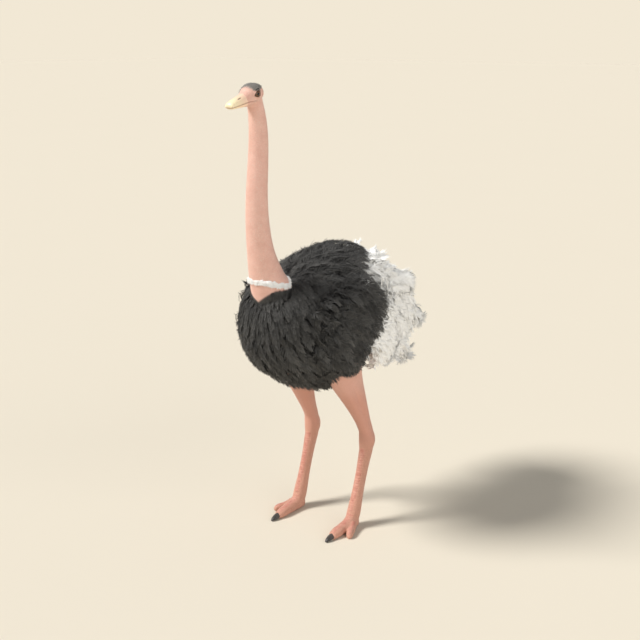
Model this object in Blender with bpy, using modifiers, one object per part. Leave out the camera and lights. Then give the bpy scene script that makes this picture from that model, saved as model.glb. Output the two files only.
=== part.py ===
"""A male ostrich, life size, standing: head, bill, eyes, neck, body, wings, tail and legs.

Each part is one closed solid whose outside is the outline of the plumage, or of the bare
skin on the head, neck and legs. Metres, +Z up. The bird faces -Y and its left is +X. The
origin is on the floor, midway between the tip of the bill and the end of the tail.

Stations below read (forward, ...): forward is the distance ahead of their zero line, which
lies a little ahead of the heels, up is the height above the floor, and side is the distance
from the middle of the bird.
"""

import math

import bmesh
import bpy
import numpy as np
from mathutils import Matrix

# Driving dimensions, metres
BILL_REACH = 0.660  # tip of the bill, ahead of the stations' zero line
TAIL_REACH = 0.797  # end of the tail, behind the zero line
HEEL = -0.045  # the heels, ahead of the zero line
CROWN_HEIGHT = 2.40
STANCE = 0.385  # between the middles of the two feet
GAP = 0.0003  # clearance between neighbouring parts
ZERO_Y = (BILL_REACH - TAIL_REACH) / 2

# Trunk with its plumage, at nine equal steps of angle from breast to rump
TRUNK_FRONT = 0.510
TRUNK_BACK = -0.410
TRUNK_TOP = (1.215, 1.360, 1.450, 1.515, 1.555, 1.570, 1.545, 1.455, 1.310)
TRUNK_BOTTOM = (1.215, 1.075, 0.960, 0.868, 0.818, 0.820, 0.890, 1.060, 1.310)
TRUNK_SIDE = (0.000, 0.135, 0.220, 0.270, 0.287, 0.280, 0.245, 0.150, 0.000)

# Folded wing, at nine equal steps of angle from shoulder to the tips of its quills
WING_FRONT = 0.390
WING_BACK = -0.400
WING_TOP = (1.230, 1.340, 1.405, 1.440, 1.445, 1.420, 1.350, 1.240, 1.090)
WING_BOTTOM = (1.230, 1.100, 1.010, 0.955, 0.930, 0.915, 0.910, 0.950, 1.090)
WING_OUTER = (0.200, 0.260, 0.303, 0.328, 0.336, 0.325, 0.290, 0.240, 0.185)
WING_INNER = 0.135

# Neck spine: (forward, up, radius)
NECK = (
    (0.310, 1.290, 0.112),
    (0.380, 1.395, 0.104),
    (0.428, 1.500, 0.085),
    (0.462, 1.620, 0.067),
    (0.480, 1.760, 0.058),
    (0.480, 1.900, 0.053),
    (0.469, 2.030, 0.050),
    (0.462, 2.150, 0.047),
    (0.468, 2.250, 0.0425),
    (0.488, 2.345, 0.0370),
)
NECK_LENGTHS = ("neck_lower", "neck_middle", "neck_upper")
NECK_CUTS = (0.0, 0.44, 0.72, 1.0)  # shares of the spine at which the lengths meet
NECK_STEPS = 400  # how finely the spine is measured

# Head, in its own frame: (ahead of the eye, top, bottom, side), then tilted nose down
HEAD_FORWARD = 0.508
HEAD_TILT = math.radians(12)
HEAD = (
    (-0.0720, 0.004, 0.000, 0.0020),
    (-0.0690, 0.016, -0.010, 0.0160),
    (-0.0590, 0.030, -0.021, 0.0280),
    (-0.0420, 0.043, -0.030, 0.0385),
    (-0.0200, 0.0505, -0.037, 0.0455),
    (0.0020, 0.0515, -0.041, 0.0475),
    (0.0240, 0.0440, -0.041, 0.0430),
    (0.0420, 0.0320, -0.039, 0.0365),
    (0.0560, 0.0240, -0.037, 0.0330),
)
BILL_TOP_LINE = (0.0240, 0.0190, 0.0140, 0.0090, 0.0020, -0.0070)
BILL_GAPE_LINE = (-0.0150, -0.0155, -0.0160, -0.0160, -0.0160, -0.0160)
BILL_CHIN_LINE = (-0.0370, -0.0335, -0.0300, -0.0270, -0.0240, -0.0200)
BILL_SIDE = (0.0330, 0.0315, 0.0300, 0.0280, 0.0235, 0.0125)
BILL_BASE = 0.0560
BILL_LENGTH = 0.1000
BILL_ROUND = (0.75, 0.9)  # powers that widen and fill the bill's rounded outline
CHIN_SHORTER = 0.004  # the lower bill ends inside the hooked tip of the upper one
EYE_RADIUS = 0.0235
EYE_CENTRE = (0.0020, 0.0290, 0.0090)  # ahead, side, up in the head's frame

# Leg spine: (forward, up, inward of the foot, half depth fore and aft, half width)
LEG = (
    (0.080, 1.080, 0.036, 0.125, 0.092),
    (0.034, 0.965, 0.032, 0.114, 0.086),
    (-0.013, 0.860, 0.024, 0.092, 0.074),
    (-0.065, 0.750, 0.014, 0.068, 0.058),
    (-0.115, 0.645, 0.006, 0.051, 0.045),
    (-0.151, 0.555, 0.002, 0.043, 0.039),
    (-0.174, 0.478, 0.000, 0.050, 0.043),
    (-0.157, 0.405, 0.000, 0.043, 0.037),
    (-0.126, 0.300, 0.000, 0.036, 0.032),
    (-0.093, 0.190, 0.000, 0.035, 0.032),
    (-0.064, 0.100, 0.000, 0.041, 0.037),
    (-0.052, 0.058, 0.000, 0.037, 0.035),
)
ANKLE_SHARE = 0.585  # how far along the leg's stations the ankle lies
LEG_SIDE = STANCE / 2

# Toes: (ahead of the heel, top of the toe, half width); the sole is flat on the floor
INNER_TOE = (
    (-0.034, 0.050, 0.0220),
    (-0.022, 0.078, 0.0310),
    (0.010, 0.082, 0.0360),
    (0.050, 0.068, 0.0335),
    (0.085, 0.058, 0.0315),
    (0.120, 0.053, 0.0310),
    (0.155, 0.046, 0.0290),
    (0.185, 0.034, 0.0225),
    (0.196, 0.020, 0.0120),
)
OUTER_TOE = (
    (0.000, 0.060, 0.0180),
    (0.020, 0.060, 0.0230),
    (0.050, 0.050, 0.0225),
    (0.080, 0.041, 0.0215),
    (0.110, 0.036, 0.0195),
    (0.130, 0.028, 0.0145),
    (0.139, 0.016, 0.0070),
)
OUTER_TOE_START = (0.008, 0.012)  # forward, outward of the foot's middle
OUTER_TOE_SPLAY = math.radians(27)
CLAW = (
    (0.160, 0.036, 0.0190),
    (0.185, 0.033, 0.0185),
    (0.210, 0.026, 0.0160),
    (0.228, 0.018, 0.0115),
    (0.238, 0.010, 0.0055),
)
CLAW_CLEARANCE = 0.004  # the claw's underside stays this far off the floor

# Tail: plumes that spring from the rump in rows and droop. Each row reads
# (rise of the root in degrees, spread of the row in degrees, plumes, length, droop, radius)
TAIL_ROOT = (-0.300, 1.240)
TAIL_ROWS = (
    (62, 40, 2, 0.350, 0.080, 0.115),
    (28, 52, 3, 0.430, 0.160, 0.115),
    (-8, 40, 3, 0.500, 0.150, 0.115),
    (-46, 46, 3, 0.540, 0.040, 0.105),
)
TAIL_CORE = (-0.440, 1.120, 0.200, 0.205, 0.300)  # forward, up, half length, side, height

# How far each outline is from an oval, which has a squareness of 2
TRUNK_SQUARE, WING_SQUARE, HEAD_SQUARE, LEG_SQUARE, TOE_SQUARE = 2.15, 2.3, 2.2, 2.1, 2.4
WIDEST = 0.52  # the trunk is widest at this share of its height
WING_EDGE = 1.6  # how soon the wing reaches its full thickness behind its leading edge
LOWER_BILL_WIDTH = 0.93  # of the upper bill's
TOE_WIDEST = 0.42  # a toe is widest at this share of its height
TOE_SINK = 1.12  # the round of a toe reaches this far down before the sole cuts it off
PLUME_TIP = (0.75, 0.35)  # a plume's fullness at its root, and what it gains at its tip
BLUNT = 0.0005  # the least radius at a round end

# Rings and sides of each loft
TRUNK_RINGS, TRUNK_SIDES = 25, 26
WING_RINGS, WING_SIDES = 14, 14
NECK_RINGS, NECK_SIDES = 7, 18
HEAD_RINGS, HEAD_SIDES = 14, 20
BILL_RINGS, BILL_SIDES = 9, 14
LEG_RINGS, LEG_SIDES = 11, 14
INNER_TOE_RINGS, OUTER_TOE_RINGS, CLAW_RINGS, TOE_SIDES = 12, 9, 7, 12
PLUME_RINGS, CORE_RINGS, PLUME_SIDES = 9, 14, 12
TAIL_GRAIN = 0.022  # voxel at which the plumes melt together
TAIL_KEPT = 0.15  # share of the melted faces that is kept

COLOURS = {
    "plumage": ((0.022, 0.020, 0.019), 0.75),
    "white_plumes": ((0.82, 0.80, 0.74), 0.80),
    "skin": ((0.73, 0.40, 0.32), 0.55),
    "bill": ((0.83, 0.62, 0.36), 0.40),
    "claw": ((0.07, 0.065, 0.06), 0.35),
    "eye": ((0.09, 0.045, 0.02), 0.08),
}


def material(slot):
    """The named finish, made the first time that a part asks for it."""
    if slot in bpy.data.materials:
        return bpy.data.materials[slot]
    colour, roughness = COLOURS[slot]
    made = bpy.data.materials.new(slot)
    made.use_nodes = True
    shader = made.node_tree.nodes["Principled BSDF"]
    shader.inputs["Base Color"].default_value = (*colour, 1.0)
    shader.inputs["Roughness"].default_value = roughness
    shader.inputs["Metallic"].default_value = 0.0
    return made


ACROSS = np.array([1.0, 0.0, 0.0])
UP = np.array([0.0, 0.0, 1.0])


def collection(name, hidden=False):
    made = bpy.data.collections.new(name)
    bpy.context.scene.collection.children.link(made)
    made.hide_render = hidden
    return made


def through(stations, count, first=0.0, last=1.0):
    """Rows read at even steps along a smooth curve through the stations."""
    rows = np.asarray(stations, float)
    before = 2 * rows[0] - rows[1]
    after = 2 * rows[-1] - rows[-2]
    rows = np.vstack([before, rows, after])
    place = np.linspace(first, last, count) * (len(rows) - 3)
    start = np.minimum(place.astype(int), len(rows) - 4)
    t = (place - start)[:, None]
    a, b, c, d = (rows[start + step] for step in range(4))
    bend = 2 * a - 5 * b + 4 * c - d
    twist = 3 * b - 3 * c + d - a
    return 0.5 * (2 * b + (c - a) * t + bend * t**2 + twist * t**3)


def world(side, forward, up):
    """A place given from the zero line, as a point of the bird's frame."""
    return np.array([side, ZERO_Y - forward, up])


def ring(centre, across, upward, width, above, below, sides, squareness=2.0):
    """A closed outline round a centre: an oval, or squarer as squareness passes 2."""
    turn = np.arange(sides) * 2 * math.pi / sides
    c, s = np.cos(turn), np.sin(turn)
    c = np.sign(c) * np.abs(c) ** (2 / squareness)
    s = np.sign(s) * np.abs(s) ** (2 / squareness)
    reach = np.where(s > 0, above, below)
    return centre + np.outer(c * width, across) + np.outer(s * reach, upward)


def add_loft(shape, rings):
    """Adds a closed skin through the rings, with flat ends, to a mesh that is being made."""
    rows = [[shape.verts.new(point) for point in outline] for outline in rings]
    for one, two in zip(rows, rows[1:]):
        for i in range(len(one)):
            j = (i + 1) % len(one)
            shape.faces.new((one[i], one[j], two[j], two[i]))
    shape.faces.new(rows[0][::-1])
    shape.faces.new(rows[-1])


def finish(shape, name, slot, parts):
    """Turns a mesh that is being made into an object of the parts.

    Its faces become triangles, because a bent four-sided face would meet the neighbour that
    it cuts a little off its own surface.
    """
    bmesh.ops.remove_doubles(shape, verts=shape.verts, dist=1e-6)
    bmesh.ops.recalc_face_normals(shape, faces=shape.faces)
    bmesh.ops.triangulate(shape, faces=shape.faces)
    mesh = bpy.data.meshes.new(name)
    shape.to_mesh(mesh)
    shape.free()
    mesh.shade_smooth()
    mesh.materials.append(material(slot))
    made = bpy.data.objects.new(name, mesh)
    parts.objects.link(made)
    return made


def loft(name, rings, slot, parts, floor=None):
    """A closed solid through the rings, with flat ends. Floor flattens what is below it."""
    points = np.array(rings)
    if floor is not None:
        points[:, :, 2] = np.maximum(points[:, :, 2], floor)
    shape = bmesh.new()
    add_loft(shape, points)
    return finish(shape, name, slot, parts)


def cutter_from(made, cutters):
    """A copy of a part, grown by the gap, that cuts its neighbours."""
    name = made.name + "_cutter"
    if name in bpy.data.objects:
        return bpy.data.objects[name]
    copy = bpy.data.objects.new(name, made.data.copy())
    copy.location = made.location
    cutters.objects.link(copy)
    copy.hide_render = True
    copy.display_type = "WIRE"
    grow = copy.modifiers.new("clearance", "DISPLACE")
    grow.strength = GAP
    grow.mid_level = 0.0
    return copy


def cut(made, neighbours, cutters):
    """Takes each neighbour's space out of a part."""
    for neighbour in neighbours:
        boolean = made.modifiers.new("clear_of_" + neighbour.name, "BOOLEAN")
        boolean.operation = "DIFFERENCE"
        boolean.solver = "EXACT"
        boolean.object = cutter_from(neighbour, cutters)


def round_stations(front, back, count):
    """Places from front to back that crowd together at both ends, and their angles."""
    angle = np.linspace(0, math.pi, count)
    return (front + back) / 2 + (front - back) / 2 * np.cos(angle), angle


def make_trunk(parts):
    forward, _ = round_stations(TRUNK_FRONT, TRUNK_BACK, TRUNK_RINGS)
    stations = np.column_stack([TRUNK_TOP, TRUNK_BOTTOM, TRUNK_SIDE])
    rings = []
    for place, (top, bottom, side) in zip(forward, through(stations, TRUNK_RINGS)):
        widest = bottom + (top - bottom) * WIDEST
        size = max(side, 0.0), top - widest, widest - bottom
        rings.append(
            ring(world(0, place, widest), ACROSS, UP, *size, TRUNK_SIDES, TRUNK_SQUARE)
        )
    return loft("trunk", rings, "plumage", parts)


def make_wing(parts, hand, label):
    forward, angles = round_stations(WING_FRONT, WING_BACK, WING_RINGS)
    stations = np.column_stack([WING_TOP, WING_BOTTOM, WING_OUTER])
    rings = []
    for place, angle, row in zip(forward, angles, through(stations, WING_RINGS)):
        top, bottom, outer = row
        thick = (outer - WING_INNER) / 2 * min(1.0, math.sin(angle) * WING_EDGE)
        height = max((top - bottom) / 2, 0.0)
        centre = world(hand * (outer + WING_INNER) / 2, place, (top + bottom) / 2)
        rings.append(
            ring(centre, ACROSS, UP, thick, height, height, WING_SIDES, WING_SQUARE)
        )
    return loft("wing_" + label, rings, "plumage", parts)


def make_neck(parts):
    """Three lengths of one bent tube, a gap apart."""
    fine = through(NECK, NECK_STEPS)
    spine = np.array([world(0, forward, up) for forward, up, _ in fine])
    steps = np.linalg.norm(np.diff(spine, axis=0), axis=1)
    travelled = np.concatenate([[0], np.cumsum(steps)])
    table = np.column_stack([spine, np.gradient(spine, axis=0), fine[:, 2]])
    lengths = []
    for name, low, high in zip(NECK_LENGTHS, NECK_CUTS, NECK_CUTS[1:]):
        start, end = low * travelled[-1] + GAP / 2, high * travelled[-1] - GAP / 2
        rings = []
        for distance in np.linspace(start, end, NECK_RINGS):
            row = np.array([np.interp(distance, travelled, column) for column in table.T])
            middle, way, radius = row[:3], row[3:6], row[6]
            square = np.cross(way / np.linalg.norm(way), ACROSS)
            rings.append(ring(middle, ACROSS, square, radius, radius, radius, NECK_SIDES))
        lengths.append(loft(name, rings, "skin", parts))
    return lengths


def head_point(ahead, side, up):
    """A place in the tilted head's own frame, as a point of the bird's frame."""
    eye_up = CROWN_HEIGHT - max(row[1] for row in HEAD)
    forward = HEAD_FORWARD + ahead * math.cos(HEAD_TILT) + up * math.sin(HEAD_TILT)
    height = eye_up - ahead * math.sin(HEAD_TILT) + up * math.cos(HEAD_TILT)
    return world(side, forward, height)


def head_ring(ahead, top, bottom, side, sides, squareness):
    middle = (top + bottom) / 2
    upward = head_point(0, 0, 1) - head_point(0, 0, 0)
    half = (top - bottom) / 2
    centre = head_point(ahead, 0, middle)
    return ring(centre, ACROSS, upward, side, half, half, sides, squareness)


def make_head(parts):
    rows = through(HEAD, HEAD_RINGS)
    rings = [head_ring(*row, HEAD_SIDES, HEAD_SQUARE) for row in rows]
    return loft("head", rings, "skin", parts)


def make_bills(parts):
    """Upper and lower bill, meeting at the gape."""
    outline = np.column_stack([BILL_TOP_LINE, BILL_GAPE_LINE, BILL_CHIN_LINE, BILL_SIDE])
    rows = through(outline, BILL_RINGS)
    share = np.sin(np.linspace(0, math.pi / 2, BILL_RINGS))
    upper, lower = [], []
    for part, (top, gape, chin, side) in zip(share, rows):
        ahead = BILL_BASE + GAP + part * BILL_LENGTH
        short = BILL_BASE + GAP + part * (BILL_LENGTH - CHIN_SHORTER)
        upper.append(half_oval(ahead, gape, top, side))
        lower.append(half_oval(short, gape - GAP, chin, side * LOWER_BILL_WIDTH))
    return (
        loft("bill_upper", upper, "bill", parts),
        loft("bill_lower", lower, "bill", parts),
    )


def half_oval(ahead, base, crest, side):
    """Half an oval in the head's frame: flat at its base, round towards its crest."""
    turn = np.linspace(0, math.pi, BILL_SIDES)
    flat, full = BILL_ROUND
    c = np.sign(np.cos(turn)) * np.abs(np.cos(turn)) ** flat
    height = base + (crest - base) * np.sin(turn) ** full
    height[0] = height[-1] = base
    return [head_point(ahead, side * x, z) for x, z in zip(c, height)]


def make_eye(parts, hand, label):
    ahead, side, up = EYE_CENTRE
    shape = bmesh.new()
    bmesh.ops.create_uvsphere(shape, u_segments=16, v_segments=8, radius=EYE_RADIUS)
    poles_to_the_sides = Matrix.Rotation(math.pi / 2, 3, "Y")
    bmesh.ops.rotate(shape, verts=shape.verts, cent=(0, 0, 0), matrix=poles_to_the_sides)
    eye = finish(shape, "eye_" + label, "eye", parts)
    eye.location = head_point(ahead, hand * side, up)
    return eye


def leg_rings(hand, first, last):
    """Rings square to the leg between two shares of its stations."""
    rows = through(LEG, LEG_RINGS, first, last)
    spine = np.array(
        [world(hand * (LEG_SIDE - inward), forward, up) for forward, up, inward in rows[:, :3]]
    )
    rings = []
    for middle, way, row in zip(spine, np.gradient(spine, axis=0), rows):
        depth, width = row[3:]
        square = np.cross(way, ACROSS)
        square /= np.linalg.norm(square)
        rings.append(
            ring(middle, ACROSS, square, width, depth, depth, LEG_SIDES, LEG_SQUARE)
        )
    return rings


def make_leg(parts, hand, label):
    """Thigh down to the ankle, and shank from the ankle to the toes, a gap apart."""
    thigh = leg_rings(hand, 0.0, ANKLE_SHARE)
    shank = leg_rings(hand, ANKLE_SHARE, 1.0)
    # Both meet in one plane, square to the bisector of the bend at the ankle
    joint = (thigh[-1] + shank[0]) / 2
    square = np.cross(joint[0] - joint[LEG_SIDES // 2], joint[3] - joint[0])
    square /= np.linalg.norm(square) * math.copysign(1, square[2])
    thigh[-1] = joint + square * GAP / 2
    shank[0] = joint - square * GAP / 2
    return (
        loft("thigh_" + label, thigh, "skin", parts),
        loft("shank_" + label, shank, "skin", parts),
    )


def toe_rings(stations, start, heading, count, lift=0.0, squareness=TOE_SQUARE):
    """Rings along a toe: rounded above, and reaching just under the floor below."""
    ahead = np.array([math.sin(heading), -math.cos(heading), 0.0])
    across = np.array([math.cos(heading), math.sin(heading), 0.0])
    rings = []
    for distance, top, half in through(stations, count):
        middle = lift + (top - lift) * TOE_WIDEST
        centre = start + ahead * distance + UP * middle
        size = half, top - middle, (middle - lift) * TOE_SINK
        rings.append(ring(centre, across, UP, *size, TOE_SIDES, squareness))
    return rings


def make_foot(parts, hand, label):
    heel = world(hand * LEG_SIDE, HEEL, 0)
    forward, outward = OUTER_TOE_START
    root = world(hand * (LEG_SIDE + outward), HEEL + forward, 0)
    splay = hand * OUTER_TOE_SPLAY
    inner = toe_rings(INNER_TOE, heel, 0, INNER_TOE_RINGS)
    outer = toe_rings(OUTER_TOE, root, splay, OUTER_TOE_RINGS)
    claw = toe_rings(CLAW, heel, 0, CLAW_RINGS, CLAW_CLEARANCE, 2.0)
    return (
        loft("toe_inner_" + label, inner, "skin", parts, floor=0.0),
        loft("toe_outer_" + label, outer, "skin", parts, floor=0.0),
        loft("claw_" + label, claw, "claw", parts),
    )


def plume_rings(rise, turn, length, droop, radius):
    """Rings along one tail plume: round-ended, springing up and bending down."""
    way = np.array(
        [
            math.cos(rise) * math.sin(turn),
            math.cos(rise) * math.cos(turn),
            math.sin(rise),
        ]
    )
    angle = np.linspace(0, math.pi, PLUME_RINGS)
    share = (1 - np.cos(angle)) / 2
    root_fullness, gain = PLUME_TIP
    size = np.sin(angle) * (root_fullness + gain * share) * radius + BLUNT
    spine = world(0, *TAIL_ROOT) + np.outer(share * length, way)
    spine[:, 2] -= droop * share**2
    rings = []
    for point, along, half in zip(spine, np.gradient(spine, axis=0), size):
        across = np.cross(along, UP)
        across /= np.linalg.norm(across)
        square = np.cross(across, along / np.linalg.norm(along))
        rings.append(ring(point, across, square, half, half, half, PLUME_SIDES))
    return rings


def core_rings():
    """Rings of the egg-shaped core that the tail's plumes spring from."""
    forward, up, half_length, side, height = TAIL_CORE
    places, angles = round_stations(forward + half_length, forward - half_length, CORE_RINGS)
    rings = []
    for place, size in zip(places, np.sin(angles)):
        half_side, half_height = side * size + BLUNT, height * size + BLUNT
        middle = world(0, place, up)
        rings.append(
            ring(middle, ACROSS, UP, half_side, half_height, half_height, PLUME_SIDES)
        )
    return rings


def make_tail(parts):
    """The core with the plumes of each row melted into it."""
    shape = bmesh.new()
    add_loft(shape, core_rings())
    for rise, spread, plumes, length, droop, radius in TAIL_ROWS:
        for turn in np.linspace(-spread / 2, spread / 2, plumes):
            angles = math.radians(rise), math.radians(turn)
            add_loft(shape, plume_rings(*angles, length, droop, radius))
    tail = finish(shape, "tail", "white_plumes", parts)
    melt = tail.modifiers.new("melt_together", "REMESH")
    melt.mode = "VOXEL"
    melt.voxel_size = TAIL_GRAIN
    thin = tail.modifiers.new("fewer_faces", "DECIMATE")
    thin.ratio = TAIL_KEPT
    return tail


def make_ostrich():
    for old in list(bpy.data.objects):
        bpy.data.objects.remove(old, do_unlink=True)
    parts = collection("ostrich")
    cutters = collection("cutters", hidden=True)
    trunk = make_trunk(parts)
    neck = make_neck(parts)
    head = make_head(parts)
    make_bills(parts)
    wings, eyes = [], []
    for hand, label in ((1, "left"), (-1, "right")):
        wing = make_wing(parts, hand, label)
        thigh, shank = make_leg(parts, hand, label)
        inner, outer, claw = make_foot(parts, hand, label)
        eyes.append(make_eye(parts, hand, label))
        wings.append(wing)
        cut(wing, [trunk], cutters)
        cut(thigh, [trunk, wing], cutters)
        cut(inner, [shank, claw], cutters)
        cut(outer, [shank, inner], cutters)
    tail = make_tail(parts)
    cut(neck[0], [trunk], cutters)
    cut(neck[2], [head], cutters)
    cut(head, eyes, cutters)
    cut(tail, [trunk] + wings, cutters)


make_ostrich()
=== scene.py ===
"""Looks of the standing ostrich: one skin, horn, eyes, and the plumage laid over the skin."""

import math

import bmesh
import bpy
import numpy as np
from bpy.props import FloatProperty, FloatVectorProperty, IntProperty, PointerProperty
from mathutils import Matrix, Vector
from mathutils.bvhtree import BVHTree


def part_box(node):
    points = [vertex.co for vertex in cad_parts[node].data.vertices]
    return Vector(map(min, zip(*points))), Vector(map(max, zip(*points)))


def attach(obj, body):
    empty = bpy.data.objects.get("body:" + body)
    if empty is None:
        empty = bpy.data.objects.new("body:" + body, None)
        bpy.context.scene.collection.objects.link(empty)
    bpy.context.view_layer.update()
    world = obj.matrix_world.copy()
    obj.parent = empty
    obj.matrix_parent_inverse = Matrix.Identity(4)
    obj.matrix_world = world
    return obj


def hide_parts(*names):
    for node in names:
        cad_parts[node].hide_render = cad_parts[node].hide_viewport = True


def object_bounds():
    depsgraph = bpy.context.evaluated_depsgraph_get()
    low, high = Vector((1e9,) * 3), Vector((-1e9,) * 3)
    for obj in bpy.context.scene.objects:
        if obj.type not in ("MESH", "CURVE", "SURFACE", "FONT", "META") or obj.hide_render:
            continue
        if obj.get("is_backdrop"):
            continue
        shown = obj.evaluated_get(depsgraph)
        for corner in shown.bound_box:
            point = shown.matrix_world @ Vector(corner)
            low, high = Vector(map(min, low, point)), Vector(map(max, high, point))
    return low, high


bl_info = {
    "name": "Standing Ostrich",
    "version": (1, 0, 0),
    "blender": (4, 5, 0),
    "location": "3D View > Sidebar > Ostrich",
    "description": "Skin, horn, eyes and plumage of a life-size male ostrich",
    "category": "Object",
}

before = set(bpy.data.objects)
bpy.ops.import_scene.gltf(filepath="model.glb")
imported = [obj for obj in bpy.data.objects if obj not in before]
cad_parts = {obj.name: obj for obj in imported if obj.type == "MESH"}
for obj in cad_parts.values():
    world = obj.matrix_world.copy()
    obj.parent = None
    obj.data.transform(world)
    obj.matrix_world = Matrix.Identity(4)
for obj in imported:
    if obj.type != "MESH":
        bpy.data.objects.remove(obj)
CAD_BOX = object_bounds()

# ---------- shape of the bird
# Stations read (forward, ...): forward is ahead of the zero line, up is above the floor.
ZERO_Y = -0.0685
CROWN_HEIGHT = 2.40
LEG_SIDE = 0.1925
HEEL = -0.045

# (forward, up, radius)
NECK = (
    (0.240, 1.180, 0.100),
    (0.310, 1.290, 0.110),
    (0.380, 1.395, 0.103),
    (0.428, 1.500, 0.084),
    (0.462, 1.620, 0.0665),
    (0.480, 1.760, 0.0575),
    (0.480, 1.900, 0.0525),
    (0.469, 2.030, 0.0495),
    (0.462, 2.150, 0.0465),
    (0.468, 2.250, 0.0420),
    (0.488, 2.345, 0.0360),
)
HEAD_FORWARD = 0.508
HEAD_TILT = math.radians(12)
CROWN_OVER_EYE = 0.0515
EYE_UP = CROWN_HEIGHT - CROWN_OVER_EYE
# (ahead of the eye, top, bottom, side)
HEAD = (
    (-0.0720, 0.004, 0.000, 0.0020),
    (-0.0690, 0.016, -0.010, 0.0160),
    (-0.0590, 0.030, -0.021, 0.0280),
    (-0.0420, 0.043, -0.030, 0.0385),
    (-0.0200, 0.0505, -0.037, 0.0455),
    (0.0020, 0.0515, -0.041, 0.0475),
    (0.0240, 0.0440, -0.041, 0.0430),
    (0.0420, 0.0320, -0.039, 0.0365),
    (0.0560, 0.0240, -0.037, 0.0330),
    (0.0640, 0.0190, -0.034, 0.0290),
)
# heights over the eye's middle and half widths, from the base of the bill to its tip
BILL_TOP_LINE = (0.0240, 0.0190, 0.0140, 0.0090, 0.0020, -0.0070)
BILL_GAPE_LINE = (-0.0150, -0.0155, -0.0160, -0.0160, -0.0160, -0.0160)
BILL_CHIN_LINE = (-0.0370, -0.0335, -0.0300, -0.0270, -0.0240, -0.0200)
BILL_SIDE = (0.0330, 0.0315, 0.0300, 0.0280, 0.0235, 0.0125)
BILL_BASE = 0.0560  # ahead of the eye
BILL_LENGTH = 0.1000
CHIN_SHORTER = 0.004
EYE_RADIUS = 0.0235
EYE_CENTRE = (0.0020, 0.0290, 0.0090)  # (ahead, side, up) in the head's own frame
LID_THICK = 0.0019
LID_DIVE = 0.0030  # how deep the skin lies behind the front of an open eye

# (forward, up, inward of the foot, half depth, half width, how full the calf is behind)
LEG = (
    (0.090, 1.130, 0.030, 0.120, 0.095, 1.25),
    (0.070, 1.060, 0.026, 0.124, 0.098, 1.32),
    (0.034, 0.965, 0.028, 0.113, 0.090, 1.30),
    (-0.013, 0.860, 0.024, 0.091, 0.073, 1.14),
    (-0.065, 0.750, 0.014, 0.066, 0.057, 1.10),
    (-0.115, 0.645, 0.006, 0.048, 0.043, 1.08),
    (-0.148, 0.570, 0.002, 0.041, 0.037, 1.04),
    (-0.167, 0.515, 0.000, 0.044, 0.041, 1.00),
    (-0.174, 0.474, 0.000, 0.049, 0.042, 1.00),
    (-0.167, 0.435, 0.000, 0.044, 0.038, 1.05),
    (-0.152, 0.385, 0.000, 0.037, 0.033, 1.10),
    (-0.124, 0.295, 0.000, 0.033, 0.029, 1.12),
    (-0.093, 0.195, 0.000, 0.033, 0.030, 1.10),
    (-0.068, 0.115, 0.000, 0.038, 0.035, 1.04),
    (-0.052, 0.070, 0.000, 0.040, 0.037, 1.00),
    (-0.040, 0.040, 0.000, 0.032, 0.032, 1.00),
)
# (ahead of the heel, top of the toe, half width)
INNER_TOE = (
    (-0.033, 0.048, 0.0200),
    (-0.022, 0.075, 0.0300),
    (0.010, 0.080, 0.0355),
    (0.046, 0.067, 0.0325),
    (0.062, 0.060, 0.0300),
    (0.085, 0.058, 0.0318),
    (0.108, 0.053, 0.0290),
    (0.130, 0.052, 0.0312),
    (0.155, 0.045, 0.0285),
    (0.180, 0.037, 0.0235),
    (0.194, 0.024, 0.0130),
)
OUTER_TOE = (
    (0.000, 0.060, 0.0180),
    (0.022, 0.060, 0.0230),
    (0.048, 0.049, 0.0215),
    (0.066, 0.043, 0.0222),
    (0.085, 0.039, 0.0200),
    (0.105, 0.037, 0.0205),
    (0.128, 0.029, 0.0155),
    (0.138, 0.017, 0.0070),
)
OUTER_TOE_START = (0.008, 0.012)  # (forward, outward) of the heel
OUTER_TOE_SPLAY = math.radians(27)
CLAW = (
    (0.166, 0.034, 0.0165),
    (0.185, 0.0325, 0.0180),
    (0.205, 0.028, 0.0165),
    (0.224, 0.020, 0.0120),
    (0.2375, 0.010, 0.0050),
)
CLAW_CLEARANCE = 0.004
SOLE_UP = 0.0002  # no point of the skin is lower
CLAW_UP = 0.002  # no point of a claw is lower
# where y is, and how high the thigh shows there under the tips of the plumes
THIGH_LINE = (-0.27, -0.19, -0.07, -0.03, 0.01, 0.05), (0.80, 0.89, 1.01, 1.03, 0.985, 0.90)
SHANK_PLATES = 0.425, 0.098, 25  # heights of the first and last plate, and how many
RING_UP = 1.468  # middle height of the white ring's top row
DOWN_UP = 1.47  # thin down grows above here
CROWN_UP = 2.25  # the crown's bristles and its dark skin are above here
FACE_UP = 2.29  # thin down lies back above here, and hangs below
ON_NODE = 0.002  # a root this near a node's outline grows on that node

ACROSS = np.array([1.0, 0.0, 0.0])
BACK = np.array([0.0, 1.0, 0.0])
UP = np.array([0.0, 0.0, 1.0])
HANDS = ((1, "left"), (-1, "right"))
TAU = 2 * math.pi
# how much wider, longer and higher the coat makes the trunk
COAT_DEPTH = np.array([0.062, 0.060, 0.044])
FINE_UNDER = 0.035  # the skin stays fine so far under the edges of the plumage


# ---------- shape helpers
def through(stations, count):
    """Rows read at even steps along a smooth curve through the stations."""
    rows = np.asarray(stations, float)
    rows = np.vstack([2 * rows[0] - rows[1], rows, 2 * rows[-1] - rows[-2]])
    spots = np.linspace(0, 1, count) * (len(rows) - 3)
    start = np.minimum(spots.astype(int), len(rows) - 4)
    t = (spots - start)[:, None]
    a, b, c, d = (rows[start + step] for step in range(4))
    bend, twist = 2 * a - 5 * b + 4 * c - d, 3 * b - 3 * c + d - a
    return 0.5 * (2 * b + (c - a) * t + bend * t**2 + twist * t**3)


def place(side, forward, up):
    return np.array([side, ZERO_Y - forward, up])


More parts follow.
